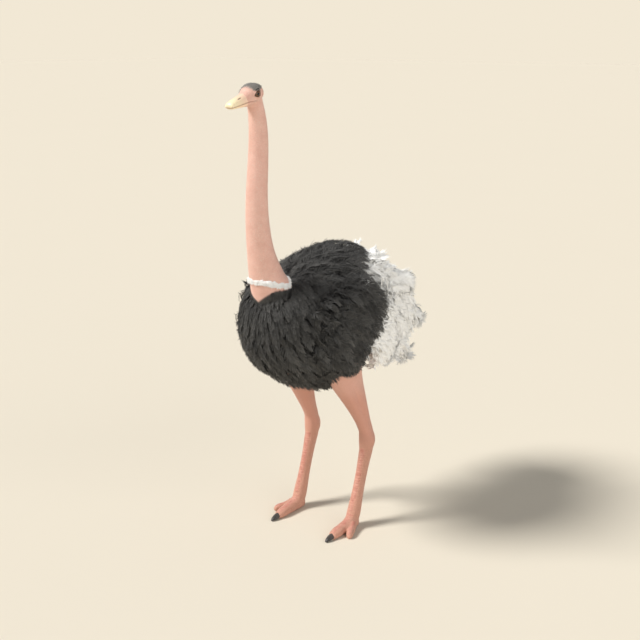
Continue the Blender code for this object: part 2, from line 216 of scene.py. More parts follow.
def head_point(ahead, side, up):
    """A place in the tilted head's own frame, in the bird's frame. Takes arrays too."""
    forward = HEAD_FORWARD + ahead * math.cos(HEAD_TILT) + up * math.sin(HEAD_TILT)
    height = EYE_UP - ahead * math.sin(HEAD_TILT) + up * math.cos(HEAD_TILT)
    return np.stack(np.broadcast_arrays(side, ZERO_Y - forward, height), axis=-1)


HEAD_UPWARD = head_point(0, 0, 1) - head_point(0, 0, 0)
HEAD_ONWARD = head_point(1, 0, 0) - head_point(0, 0, 0)


def in_head(points):
    """Points of the bird's frame as (ahead, side, up) in the head's own frame."""
    forward = ZERO_Y - points[:, 1] - HEAD_FORWARD
    height = points[:, 2] - EYE_UP
    ahead = forward * math.cos(HEAD_TILT) - height * math.sin(HEAD_TILT)
    up = forward * math.sin(HEAD_TILT) + height * math.cos(HEAD_TILT)
    return np.column_stack([ahead, points[:, 0], up])


def unit(vectors):
    length = np.linalg.norm(vectors, axis=-1, keepdims=True)
    return vectors / np.maximum(length, 1e-9)


def ramp(value, low, high):
    """0 below low, 1 above high, smooth between."""
    t = np.clip((value - low) / (high - low), 0, 1)
    return t * t * (3 - 2 * t)


def hump(value, middle, width):
    """1 at the middle, and down to 0 smoothly on both sides of it."""
    return np.exp(-(((value - middle) / width) ** 2))


def turned(run, rise, angle):
    """A run and a rise turned by an angle."""
    c, s = math.cos(angle), math.sin(angle)
    return run * c - rise * s, run * s + rise * c


def lying(way, out):
    """The unit way along a surface whose way out is given."""
    return unit(way - out * (way * out).sum(-1, keepdims=True))


def ring(centre, across, upward, width, above, below, sides, squareness=2.0):
    turn = np.arange(sides) * TAU / sides
    c, s = np.cos(turn), np.sin(turn)
    c = np.sign(c) * np.abs(c) ** (2 / squareness)
    s = np.sign(s) * np.abs(s) ** (2 / squareness)
    reach = np.where(s > 0, above, below)
    return centre + np.outer(c * width, across) + np.outer(s * reach, upward)


def loft(rings):
    """Points and faces of a closed skin through rings of equal count."""
    rings = np.asarray(rings)
    count, sides = rings.shape[:2]
    base = np.arange(count - 1)[:, None] * sides + np.arange(sides)
    ahead = np.arange(count - 1)[:, None] * sides + (np.arange(sides) + 1) % sides
    quads = np.stack([base, ahead, ahead + sides, base + sides], axis=-1).reshape(-1, 4)
    faces = [tuple(quad) for quad in quads.tolist()]
    faces.append(tuple(range(sides - 1, -1, -1)))
    faces.append(tuple(range((count - 1) * sides, count * sides)))
    return rings.reshape(-1, 3), faces


def joined(shapes):
    points, faces, start = [], [], 0
    for more, around in shapes:
        points.append(more)
        faces += [tuple(i + start for i in face) for face in around]
        start += len(more)
    return np.vstack(points), faces


def plain_mesh(name, points, faces):
    """A mesh from points and faces of any sides, with its normals facing out."""
    mesh = bpy.data.meshes.new(name)
    mesh.from_pydata(points.tolist(), [], faces)
    shape = bmesh.new()
    shape.from_mesh(mesh)
    bmesh.ops.recalc_face_normals(shape, faces=shape.faces)
    shape.to_mesh(mesh)
    shape.free()
    return mesh


def tree_of(points, faces):
    return BVHTree.FromPolygons(points.tolist(), faces)


def cast(tree, start, way, reach):
    """Where a straight line first meets a tree's shapes and the way out there, or None."""
    hit, out = tree.ray_cast(start.tolist(), way.tolist(), reach)[:2]
    return None if hit is None else (np.array(hit), np.array(out))


def new_object(name, mesh):
    made = bpy.data.objects.new(name, mesh)
    bpy.context.scene.collection.objects.link(made)
    return made


def read_rows(data, key, width, kind=np.float32):
    """Numbers of a mesh's points or edges, in rows."""
    flat = np.empty(len(data) * width, kind)
    data.foreach_get(key, flat)
    return flat.reshape(-1, width)


def coordinates(mesh):
    return read_rows(mesh.vertices, "co", 3).astype(float)


def point_normals(mesh):
    return read_rows(mesh.vertex_normals, "vector", 3).astype(float)


def edge_ends(mesh):
    return read_rows(mesh.edges, "vertices", 2, np.int32)


def faces_of(mesh):
    return [tuple(polygon.vertices) for polygon in mesh.polygons]


def set_coordinates(mesh, points):
    mesh.vertices.foreach_set("co", points.astype(np.float32).ravel())
    mesh.update()


def set_mask(mesh, name, values):
    """A number at each point, for the materials to read."""
    made = mesh.attributes.new(name, "FLOAT", "POINT")
    made.data.foreach_set("value", np.asarray(values, np.float32))


def settle(made, material, slot, *nodes, smooth=True):
    """The piece takes its finish, rides on the bird and stands for CAD nodes. The slot is not used.
    """
    made.data.materials.clear()
    made.data.materials.append(bpy.data.materials[material])
    if smooth:
        made.data.shade_smooth()
    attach(made, "root")
    if nodes:
        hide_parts(*nodes)


def with_modifiers(made):
    """The object's mesh with its modifiers worked in."""
    bpy.context.view_layer.update()
    graph = bpy.context.evaluated_depsgraph_get()
    mesh = bpy.data.meshes.new_from_object(made.evaluated_get(graph))
    made.modifiers.clear()
    old, made.data = made.data, mesh
    bpy.data.meshes.remove(old)
    return mesh


# ---------- flesh
NECK_TABLE = through(NECK, 200)


def neck_at(up):
    """How far ahead the neck's middle line is at heights, and its radius there."""
    return (np.interp(up, NECK_TABLE[:, 1], NECK_TABLE[:, k]) for k in (0, 2))


def eye_at(hand):
    ahead, side, up = EYE_CENTRE
    return head_point(ahead, hand * side, up)


def neck_rings(count=90, sides=48):
    rows = through(NECK, count)
    spine = np.array([place(0, forward, up) for forward, up, _ in rows])
    rings = []
    for middle, way, row in zip(spine, np.gradient(spine, axis=0), rows):
        square = np.cross(unit(way), ACROSS)
        rings.append(ring(middle, ACROSS, square, row[2], row[2], row[2], sides))
    return rings


def head_rings(count=60, sides=56):
    rings = []
    for ahead, top, bottom, side in through(HEAD, count):
        centre = head_point(ahead, 0, (top + bottom) / 2)
        half = max((top - bottom) / 2, 1e-4)
        size = max(side, 1e-4), half, half
        rings.append(ring(centre, ACROSS, HEAD_UPWARD, *size, sides, 2.2))
    return rings


def leg_spine(hand, rows):
    return np.array([place(hand * (LEG_SIDE - row[2]), row[0], row[1]) for row in rows])


def ahead_of(way):
    """Square to a leg's way, and facing ahead."""
    square = unit(np.cross(unit(way), ACROSS))
    return square if square[1] < 0 else -square


def leg_rings(hand, count=90, sides=40):
    rows = through(LEG, count)
    spine = leg_spine(hand, rows)
    rings = []
    for middle, way, row in zip(spine, np.gradient(spine, axis=0), rows):
        depth, width, full = row[3:]
        size = width, depth, depth * full
        rings.append(ring(middle, ACROSS, ahead_of(way), *size, sides, 2.1))
    return rings


def headed(heading):
    """The ways ahead and across of a toe that is turned by an angle."""
    ahead = np.array([math.sin(heading), -math.cos(heading), 0.0])
    return ahead, np.array([math.cos(heading), math.sin(heading), 0.0])


def toe_rings(stations, start, heading, count, sides, lift=0.0, squareness=2.4):
    ahead, across = headed(heading)
    rings = []
    for distance, top, half in through(stations, count):
        middle = lift + (top - lift) * 0.42
        centre = start + ahead * distance + UP * middle
        size = half, top - middle, (middle - lift) * 1.12
        outline = ring(centre, across, UP, *size, sides, squareness)
        outline[:, 2] = np.maximum(outline[:, 2], SOLE_UP if lift == 0 else CLAW_UP)
        rings.append(outline)
    return rings


def foot_frame(hand):
    """Heel, root of the outer toe, and its heading."""
    forward, outward = OUTER_TOE_START
    heel = place(hand * LEG_SIDE, HEEL, 0)
    root = place(hand * (LEG_SIDE + outward), HEEL + forward, 0)
    return heel, root, hand * OUTER_TOE_SPLAY


def ball(centre, size, steps=24, sides=32):
    """An egg of the given half sizes."""
    rings = []
    for angle in np.linspace(0.02, math.pi - 0.02, steps):
        wide, high = size[0] * math.sin(angle), size[2] * math.sin(angle)
        middle = centre + BACK * size[1] * math.cos(angle)
        rings.append(ring(middle, ACROSS, UP, wide, high, high, sides))
    return loft(rings)


def body_flesh():
    """The trunk's flesh: the outline of the plumage less the depth of the coat."""
    low, high = (np.array(corner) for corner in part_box("trunk"))
    middle, size = (low + high) / 2, (high - low) / 2
    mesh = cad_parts["trunk"].data
    share = (size - COAT_DEPTH) / size
    return welded(middle + (coordinates(mesh) - middle) * share, faces_of(mesh))


def welded(points, faces):
    """Points that lie together become one, so that a shape is closed."""
    _, first, back = np.unique(
        np.round(points, 5), axis=0, return_index=True, return_inverse=True
    )
    back = back.reshape(-1)
    kept = [tuple(back[i] for i in face) for face in faces]
    return points[first], [tuple(map(int, face)) for face in kept if len(set(face)) > 2]


def flesh_shapes():
    """Closed shapes that the skin is drawn over."""
    shapes = [
        body_flesh(),
        loft(neck_rings()),
        loft(head_rings()),
        ball(place(0, -0.30, 1.20), (0.130, 0.130, 0.165)),  # rump
        ball(place(0, -0.09, 1.395), (0.195, 0.280, 0.160)),  # back
    ]
    for hand, _ in HANDS:
        heel, root, splay = foot_frame(hand)
        shapes += [
            loft(leg_rings(hand)),
            loft(toe_rings(INNER_TOE, heel, 0, 40, 32)),
            loft(toe_rings(OUTER_TOE, root, splay, 32, 28)),
            ball(place(hand * 0.225, -0.02, 1.19), (0.062, 0.300, 0.150)),  # under the wing
            ball(eye_at(hand), (EYE_RADIUS + LID_THICK,) * 3, 32, 40),
        ]
    return shapes


def smoothed(points, edges, weight, rounds):
    """Each point drawn towards the middle of its neighbours, by its weight, in each round."""
    one, two = edges[:, 0], edges[:, 1]
    count = len(points)
    near = np.bincount(one, minlength=count) + np.bincount(two, minlength=count)
    near = np.maximum(near, 1)[:, None]
    weight = np.broadcast_to(weight, count)[:, None]
    for _ in range(rounds):
        total = np.empty_like(points)
        for axis in range(3):
            total[:, axis] = np.bincount(one, points[two, axis], count)
            total[:, axis] += np.bincount(two, points[one, axis], count)
        points = points + (total / near - points) * weight
    return points


def feathered(points):
    """1 where plumage hides the skin, 0 where the skin is bare."""
    thigh = np.interp(points[:, 1], *THIGH_LINE) + 0.022
    low_edge = 0.845 + (thigh - 0.845) * ramp(np.abs(points[:, 0]), 0.10, 0.20)
    legs = ramp(points[:, 2], low_edge, low_edge + 0.02)
    # the plumage starts below the white ring, and dips to a point under the throat
    forward = ZERO_Y - points[:, 1]
    dip = np.minimum(1.372 + 0.75 * np.abs(points[:, 0]), 1.432)
    edge = np.maximum(1.405 - (forward - 0.38) * 0.55, dip)
    neck = ramp(edge - points[:, 2], 0.000, 0.012)
    on_neck = ramp(points[:, 2], 1.18, 1.24) * ramp(forward, 0.20, 0.26)
    return legs * (1 - on_neck * (1 - neck))


def finer(mesh, chosen):
    """Splits the faces whose middle is chosen into four."""
    shape = bmesh.new()
    shape.from_mesh(mesh)
    middles = np.array([face.calc_center_median() for face in shape.faces])
    picked = chosen(middles)
    edges = {edge for face, keep in zip(shape.faces, picked) if keep for edge in face.edges}
    bmesh.ops.subdivide_edges(shape, edges=list(edges), cuts=1, use_grid_fill=True)
    shape.to_mesh(mesh)
    shape.free()


def near_head(margin=0.0):
    def chosen(points):
        ahead, _, up = in_head(points).T
        reach = (ahead > -0.085 - margin) & (ahead < 0.08)
        return reach & (up > -0.055 - margin) & (points[:, 2] > 2.2)

    return chosen


def near_eye(points):
    local = in_head(points)
    ahead, _, up = EYE_CENTRE
    apart = np.column_stack([local[:, 0] - ahead, local[:, 2] - up])
    return (np.linalg.norm(apart, axis=1) < 0.027) & (np.abs(local[:, 1]) > 0.030)


def drawn_onto(points, normals, tree, weight, reach=0.006):
    """Points moved onto the outside of the shapes in the tree, along their normals."""
    moved = points.copy()
    for i in np.nonzero(weight > 0.01)[0]:
        hit = cast(tree, points[i] + normals[i] * reach, -normals[i], 2 * reach)
        if hit is not None:
            moved[i] += (hit[0] - points[i]) * weight[i]
    return moved


# ---------- folds of the skin
LID_LENGTH, LID_ABOVE, LID_BELOW = (math.radians(a) for a in (49, 32, 27))
LID_TILT = math.radians(9)


def lid_measure(local, hand):
    """Below 1 inside the almond opening of the lids, above 1 on the lids; inf elsewhere."""
    ahead, side, up = EYE_CENTRE
    out = local[:, 1] * hand - side
    run, rise = turned(local[:, 0] - ahead, local[:, 2] - up, LID_TILT)
    outward = np.maximum(out, 1e-6)
    level, height = np.arctan2(run, outward), np.arctan2(rise, outward)
    half = np.where(height > 0, LID_ABOVE, LID_BELOW)
    measure = np.abs(level / LID_LENGTH) ** 2.2 + np.abs(height / half) ** 1.8
    return np.where(out > 0.002, measure, np.inf)


def with_lids(points):
    """Skin drawn behind the eyeball inside the opening, with a rim and folds round it."""
    local = in_head(points)
    rim_mask = np.zeros(len(points))
    for hand, _ in HANDS:
        measure = lid_measure(local, hand)
        centre = eye_at(hand)
        arm = points - centre
        length = np.linalg.norm(arm, axis=1)
        near = np.isfinite(measure) & (length < 0.05)
        inside = near & (measure < 1.10)
        # the skin dives behind the eyeball at the edge of the opening
        dive = 1 - ramp(measure[inside], 0.86, 1.10)[:, None]
        behind = centre + unit(arm[inside]) * (EYE_RADIUS - LID_DIVE)
        points[inside] += (behind - points[inside]) * dive
        rim = hump(measure, 1.16, 0.15)
        crease = hump(measure, 2.0, 0.22) + 0.6 * hump(measure, 2.9, 0.22)
        measure = np.minimum(measure, 9.0)
        ripple = 0.2 * np.sin(measure * 13) * ramp(measure, 1.3, 1.6) * ramp(-measure, -4, -3)
        lift = 0.0011 * rim - 0.0011 * crease + 0.0009 * ripple
        lift = np.where(near, lift * ramp(measure, 0.95, 1.12), 0)
        points += unit(arm) * lift[:, None]
        rim_mask = np.maximum(rim_mask, np.where(near, ramp(-measure, -1.5, -1.1), 0))
    return points, rim_mask


def head_relief(points):
    """How far the head's skin stands out, and a mask of its mouth groove and ear pit, where shade is
    painted on.
    """
    ahead, side, up = in_head(points).T
    out = np.abs(side)
    lift = 0.0020 * hump(up, 0.0345, 0.006) * hump(ahead, 0.006, 0.020)
    lift *= ramp(out, 0.018, 0.032)
    # corner of the mouth, which runs on from the bill to under the eye
    line = -0.0160 - 0.0035 * ramp(-ahead, -0.050, -0.006)
    gape = hump(up, line, 0.0016) * ramp(ahead, 0.004, 0.014)
    gape *= ramp(out, 0.012, 0.020)
    lips = hump(np.abs(up - line), 0.0040, 0.0022)
    lips *= ramp(ahead, 0.006, 0.018) * ramp(out, 0.012, 0.020)
    corner = hump(ahead, 0.008, 0.006) * hump(up, -0.0200, 0.007)
    lift += 0.0008 * lips - 0.0018 * gape + 0.0012 * corner * ramp(out, 0.02, 0.03)
    # ear opening, an oval pit with a soft rim
    reach = np.hypot((ahead + 0.0400) / 0.0062, (up + 0.0050) / 0.0085)
    ear = ramp(-reach, -1.05, -0.55) * (out > 0.015)
    lobe = hump(reach, 1.35, 0.30) * (out > 0.015)
    lift += 0.0011 * lobe - 0.0045 * ear
    # loose skin under the jaw
    jaw = ramp(-up, 0.022, 0.034) * ramp(ahead, -0.030, 0.000)
    lift -= 0.0007 * jaw * (0.5 + 0.5 * np.cos(side * TAU / 0.0105))
    lift += 0.0008 * jaw * np.sin(ahead * TAU / 0.017 + side * 60)
    # the mouth's groove and the ear's pit are also painted dark, as painted shade
    return lift, np.maximum(gape, ear)


def neck_relief(points):
    """Windpipe, the grooves beside it, and soft folds across the neck."""
    up = points[:, 2]
    middle, radius = neck_at(up)
    forward = ZERO_Y - points[:, 1] - middle
    turn = np.arctan2(points[:, 0], forward)  # 0 at the throat
    aside = np.abs(turn)
    on_neck = ramp(up, 1.30, 1.42) * ramp(-up, -2.330, -2.270)
    pipe = hump(turn, 0, 0.42) - 0.9 * hump(aside, 0.85, 0.28)
    nape = 0.6 * hump(aside, 2.75, 0.35) - 0.8 * hump(aside, math.pi, 0.25)
    wander = 1.2 * np.sin(up * 9.1 + 1.3) + 1.0 * np.sin(turn * 2 + up * 11)
    folds = np.sin(up * TAU / 0.041 + 2.2 * wander + 1.4 * np.sin(turn * 3 + up * 23)) ** 3
    folds *= 0.5 + 0.5 * np.sin(turn * 1.5 + up * 31 + 1.0)
    slack = 0.35 + 0.6 * hump(up, 1.47, 0.07) + 0.5 * hump(up, 2.24, 0.06)
    lift = radius * (0.040 * pipe + 0.030 * nape) + 0.0009 * folds * slack
    return lift * on_neck


def leg_relief(points):
    """Muscles of the drumstick, the sinews behind and beside the shank, and the ankle."""
    table = through(LEG, 300)
    table = table[np.argsort(table[:, 1])]
    up = points[:, 2]
    middle, inward = (np.interp(up, table[:, 1], table[:, k]) for k in (0, 2))
    hand = np.sign(points[:, 0])
    forward = ZERO_Y - points[:, 1] - middle
    out = (points[:, 0] - hand * (LEG_SIDE - inward)) * hand
    turn = np.arctan2(out, forward)  # 0 in front, a quarter turn on the outside
    aside = np.abs(turn)
    legs = ramp(-up, -0.90, -0.80) * (np.abs(points[:, 0]) > 0.06)
    calf = ramp(up, 0.55, 0.66) * legs
    lift = calf * 0.0055 * hump(turn, 1.9, 0.50) * hump(up, 0.74, 0.11)
    lift += calf * 0.0045 * hump(turn, -1.2, 0.50) * hump(up, 0.76, 0.10)
    lift += calf * (0.0035 * hump(turn, 0.5, 0.30) - 0.0040 * hump(turn, 1.15, 0.22))
    shank = ramp(up, 0.10, 0.16) * ramp(-up, -0.66, -0.56) * legs
    lift += shank * (0.0030 * hump(aside, math.pi, 0.50) - 0.0042 * hump(aside, 2.05, 0.32))
    knob = hump(up, 0.474, 0.024) * legs
    lift += knob * 0.0050 * hump(aside, 1.75, 0.45)
    lift -= 0.0022 * legs * (hump(up, 0.425, 0.018) + hump(up, 0.530, 0.02))
    folds = np.sin(up * TAU / 0.013) ** 3 * hump(up, 0.478, 0.040)
    lift += legs * 0.0008 * folds * (aside < 1.3)
    return lift * ramp(up, 0.05, 0.10)


def make_skin_mesh(voxel):
    sources = joined(flesh_shapes())
    made = new_object("skin", plain_mesh("skin", *sources))
    melt = made.modifiers.new("melt_together", "REMESH")
    melt.mode = "VOXEL"
    melt.voxel_size = voxel
    mesh = with_modifiers(made)
    points = coordinates(mesh)
    points = smoothed(points, edge_ends(mesh), 0.5, 3)
    local = in_head(points)
    throat = ramp(-local[:, 2], 0.022, 0.040) * ramp(local[:, 2], -0.120, -0.080)
    throat *= np.abs(points[:, 1] - ZERO_Y + 0.45) < 0.2
    foot = ramp(points[:, 2], 0.035, 0.050) * ramp(-points[:, 2], -0.130, -0.100)
    soft = np.maximum(throat * (points[:, 2] > 2.1), foot)
    points = smoothed(points, edge_ends(mesh), 0.6 * soft, 14)
    set_coordinates(mesh, points)

    # under the plumage the skin is thinned out to few faces
    edge = FINE_UNDER * UP
    covered = np.minimum(feathered(points + edge), feathered(points - edge)) > 0.7
    group = made.vertex_groups.new(name="covered")
    group.add(np.nonzero(covered)[0].tolist(), 1.0, "REPLACE")
    thin = made.modifiers.new("coarse_under_feathers", "DECIMATE")
    thin.ratio = float((~covered).mean() + 0.03)
    thin.vertex_group = group.name
    thin.vertex_group_factor = 1000
    mesh = with_modifiers(made)
    made.vertex_groups.clear()

    finer(mesh, near_head())
    finer(mesh, near_eye)
    points = coordinates(mesh)
    tree = tree_of(*sources)
    local = in_head(points)
    crisp = ramp(local[:, 2] + 0.5 * ramp(local[:, 0], 0.0, 0.03) * 0.03, -0.030, -0.018)
    crisp *= near_head()(points)
    points = drawn_onto(points, point_normals(mesh), tree, crisp)
    set_coordinates(mesh, points)
    points = smoothed(points, edge_ends(mesh), 0.35 * near_head(0.02)(points), 2)
    set_coordinates(mesh, points)

    normals = point_normals(mesh)
    heads = near_head(0.01)(points)
    lift, lines = head_relief(points)
    lift, lines = lift * heads, lines * heads
    points = points + normals * (lift + neck_relief(points) + leg_relief(points))[:, None]
    points, rims = with_lids(points)
    points[:, 2] = np.maximum(points[:, 2], SOLE_UP)
    set_coordinates(mesh, points)
    return made, mesh, points, lines, rims


# ---------- plumage
# the bake maps are wrapped round these two places
BODY_MIDDLE = np.array([0.0, -0.12, 1.19])
TAIL_MIDDLE = np.array([0.0, 0.42, 1.15])
TAIL_ROOT = place(0, -0.280, 1.250)
TAIL_END = place(0, -0.740, 0.960)
TAIL_DRAWN_IN = 0.91
FILL_SHARE = 0.93
# heights, and how far back the black plumes end and the white ones start there
WHITE_LINE = (
    (1.00, 1.10, 1.18, 1.28, 1.366, 1.43, 1.48, 1.52, 1.55),
    (-0.115, -0.095, -0.060, 0.045, 0.085, 0.015, 0.005, 0.060, 0.130),
)
NECK_BASE = place(0, 0.345, 1.400)
PATCH = 0.003  # side of each tuft's patch on the bake map
HIDDEN_WITHIN = 0.09  # a face this near before an outside place hides it
FREE_PAST = 0.006  # white shafts may stand this far past the outline
HELD_BACK = 0.75  # the share of what stands out further that is drawn back
SHARPEST = 0.70  # cosine of the sharpest bend between two steps of a shaft


def shape_of(node):
    """Points and faces of a CAD node.

    The tail's are drawn in, for its loose tips to end on them, and tail_outline is the tail
    as it is. The tail's fill is the round shape between its lobes, and has no CAD node.
    """
    if node == "tail_fill":
        return stretched_round(shape_of("tail")[0], FILL_SHARE)
    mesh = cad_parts["tail" if node == "tail_outline" else node].data
    points = coordinates(mesh)
    if node == "tail":
        points = TAIL_ROOT + (points - TAIL_ROOT) * TAIL_DRAWN_IN
    return welded(points, faces_of(mesh))


def stretched_round(points, share):
    """The shape of a sheet stretched round points, shrunk towards its middle."""
    shape = bmesh.new()
    corners = [shape.verts.new(point) for point in points]
    found = bmesh.ops.convex_hull(shape, input=corners)
    spare = {item for key in ("geom_interior", "geom_unused") for item in found[key]}
    spare = [item for item in spare if isinstance(item, bmesh.types.BMVert)]
    bmesh.ops.delete(shape, geom=spare, context="VERTS")
    shape.verts.index_update()
    points = np.array([corner.co[:] for corner in shape.verts])
    faces = [tuple(corner.index for corner in face.verts) for face in shape.faces]
    shape.free()
    middle = (points.min(0) + points.max(0)) / 2
    return middle + (points - middle) * share, faces


def outline(*nodes):
    """The outside of CAD nodes, as one tree that finds places on it."""
    return tree_of(*joined([shape_of(node) for node in nodes]))


def nearest(tree, points):
    """The nearest places on the outline, and the way out there."""
    found = [tree.find_nearest(point) for point in points.tolist()]
    return np.array([hit[0] for hit in found]), np.array([hit[1] for hit in found])


def grown_on(roots, *nodes):
    """Whether roots lie on the outline of these CAD nodes."""
    spot, _ = nearest(outline(*nodes), roots)
    return np.linalg.norm(spot - roots, axis=1) < ON_NODE


def held_in(shafts, nodes):
    """Shafts drawn back towards the outline of CAD nodes where they stand out past it."""
    points = shafts.reshape(-1, 3)
    found = [nearest(outline(node), points) for node in nodes]
    past = np.array([((points - spot) * out).sum(1) for spot, out in found])
    least = past.argmin(0)
    out = np.array([out for _, out in found])[least, np.arange(len(points))]
    past = np.maximum(past.min(0) - FREE_PAST, 0)
    held = (points - out * (HELD_BACK * past)[:, None]).reshape(shafts.shape)
    held[:, 1:-1] = (held[:, :-2] + 2 * held[:, 1:-1] + held[:, 2:]) / 4
    return held


def unwrapped(points, middle):
    """Places on the bake map: the angle round the body, and the angle from its front."""
    side, back, up = unit(points - middle).T
    around = np.arctan2(side, up) / TAU + 0.5
    along = np.arccos(np.clip(-back, -1, 1)) / math.pi
    return np.column_stack([around, along]) * 0.99 + 0.003


def roots_over(nodes, spacing, rng):
    """Places spread over the outside of CAD nodes, none nearer another than the spacing."""
    tree = outline(*nodes)
    spots, outs = [], []
    for node in nodes:
        points, faces = shape_of(node)
        corners = [(face[0], *pair) for face in faces for pair in zip(face[1:], face[2:])]
        a, b, c = (points[np.array(corners)[:, k]] for k in range(3))
        square = np.cross(b - a, c - a)
        area = np.linalg.norm(square, axis=1) / 2
        number = int(area.sum() / spacing**2 * 9)
        picks = rng.choice(len(area), number, p=area / area.sum())
        u, v = rng.random((2, number, 1))
        fold = u + v > 1
        u, v = np.where(fold, 1 - u, u), np.where(fold, 1 - v, v)
        spots.append(a[picks] + u * (b - a)[picks] + v * (c - a)[picks])
        outs.append(unit(square[picks]))
    spots, outs = np.vstack(spots), np.vstack(outs)
    order = rng.permutation(len(spots))
    kept, cells = [], {}
    for i in order:
        spot = spots[i]
        cell = tuple(np.floor(spot / spacing).astype(int))
        around = [
            near
            for dx in (-1, 0, 1)
            for dy in (-1, 0, 1)
            for dz in (-1, 0, 1)
            for near in cells.get((cell[0] + dx, cell[1] + dy, cell[2] + dz), ())
        ]
        if around and (((np.array(around) - spot) ** 2).sum(1) < spacing**2).any():
            continue
        # a place that another node covers grows nothing
        if cast(tree, spot + outs[i] * 0.004, outs[i], HIDDEN_WITHIN) is not None:
            continue
        cells.setdefault(cell, []).append(spot)
        kept.append(spot)
    return tree, np.array(kept)


def laid(tree, roots, flow, lengths, steps, depth, lift, droop):
    """Shafts that leave the flesh, rise to the outline and lie along it, and the way out.

    Flow gives the way that plumes lie at places on the outline. Depth is how deep a root
    sits, lift how far a tip stands off, and droop how strongly tips hang.
    """
    count = len(roots)
    shafts, outs = np.empty((count, steps, 3)), np.empty((count, steps, 3))
    start, start_out = nearest(tree, roots)
    point, way = start, None
    step = (lengths / (steps - 1))[:, None]
    for k in range(steps):
        share = k / (steps - 1)
        spot, out = nearest(tree, point)
        lie = lying(flow(spot), out)
        hold = 1 - 0.50 * ramp(share, 0.50, 1.0)
        way = lie if way is None else unit(way * (1 - hold) + lie * hold)
        way = unit(way - UP * (droop * share**2)[:, None])
        height = -depth * (1 - ramp(share, 0.0, 0.5)) + lift * share**2
        risen = ((point - spot) * out).sum(1)
        shafts[:, k] = point + out * ((height - risen) * hold)[:, None]
        outs[:, k] = out
        point = shafts[:, k] + out * (risen - height)[:, None] * hold + way * step
    # the way out turns smoothly along a shaft
    for _ in range(2):
        outs[:, 1:-1] = unit(outs[:, :-2] + 2 * outs[:, 1:-1] + outs[:, 2:])
    # a plume that a crease would bend sharply lies straight instead, and is shorter
    ways = unit(np.diff(shafts, axis=1))
    sharp = ((ways[:, 1:] * ways[:, :-1]).sum(-1).min(1) < SHARPEST)[:, None, None]
    lie, out = lying(flow(start), start_out)[:, None], start_out[:, None]
    share = np.linspace(0, 1, steps)[None, :, None]
    height = -depth * (1 - ramp(share, 0.0, 0.5)) - 0.005 - 0.030 * share**2
    run = 0.55 * lengths[:, None, None] * share
    shafts = np.where(sharp, start[:, None] + lie * run + out * height, shafts)
    return shafts, np.where(sharp, out, outs)


LOCK_FACES = np.array(
    [(0, 1, 2), (0, 4, 1), (0, 3, 4), (1, 5, 2), (1, 4, 5)]
    + [(2, 3, 0), (2, 5, 3), (3, 6, 4), (4, 6, 5), (5, 6, 3)]
)
LOCK_MAP = np.array(
    [(0.1, 0), (0.9, 0), (0.5, 0.1), (0.0, 0.5), (1.0, 0.5), (0.5, 0.6), (0.5, 1.0)]
)
LOCK_ALONG = np.array([0, 0, 0, 0.5, 0.5, 0.5, 1.0])


def tube_faces(steps):
    """Triangles of a closed three-sided tube through so many rings."""
    own = np.arange(steps - 1)[:, None] * 3
    corner, beside = np.arange(3), (np.arange(3) + 1) % 3
    one = np.stack([own + corner, own + beside, own + beside + 3], axis=-1)
    two = np.stack([own + corner, own + beside + 3, own + corner + 3], axis=-1)
    last = 3 * (steps - 1)
    ends = [(0, 2, 1), (last, last + 1, last + 2)]
    return np.vstack([one.reshape(-1, 3), two.reshape(-1, 3), ends])


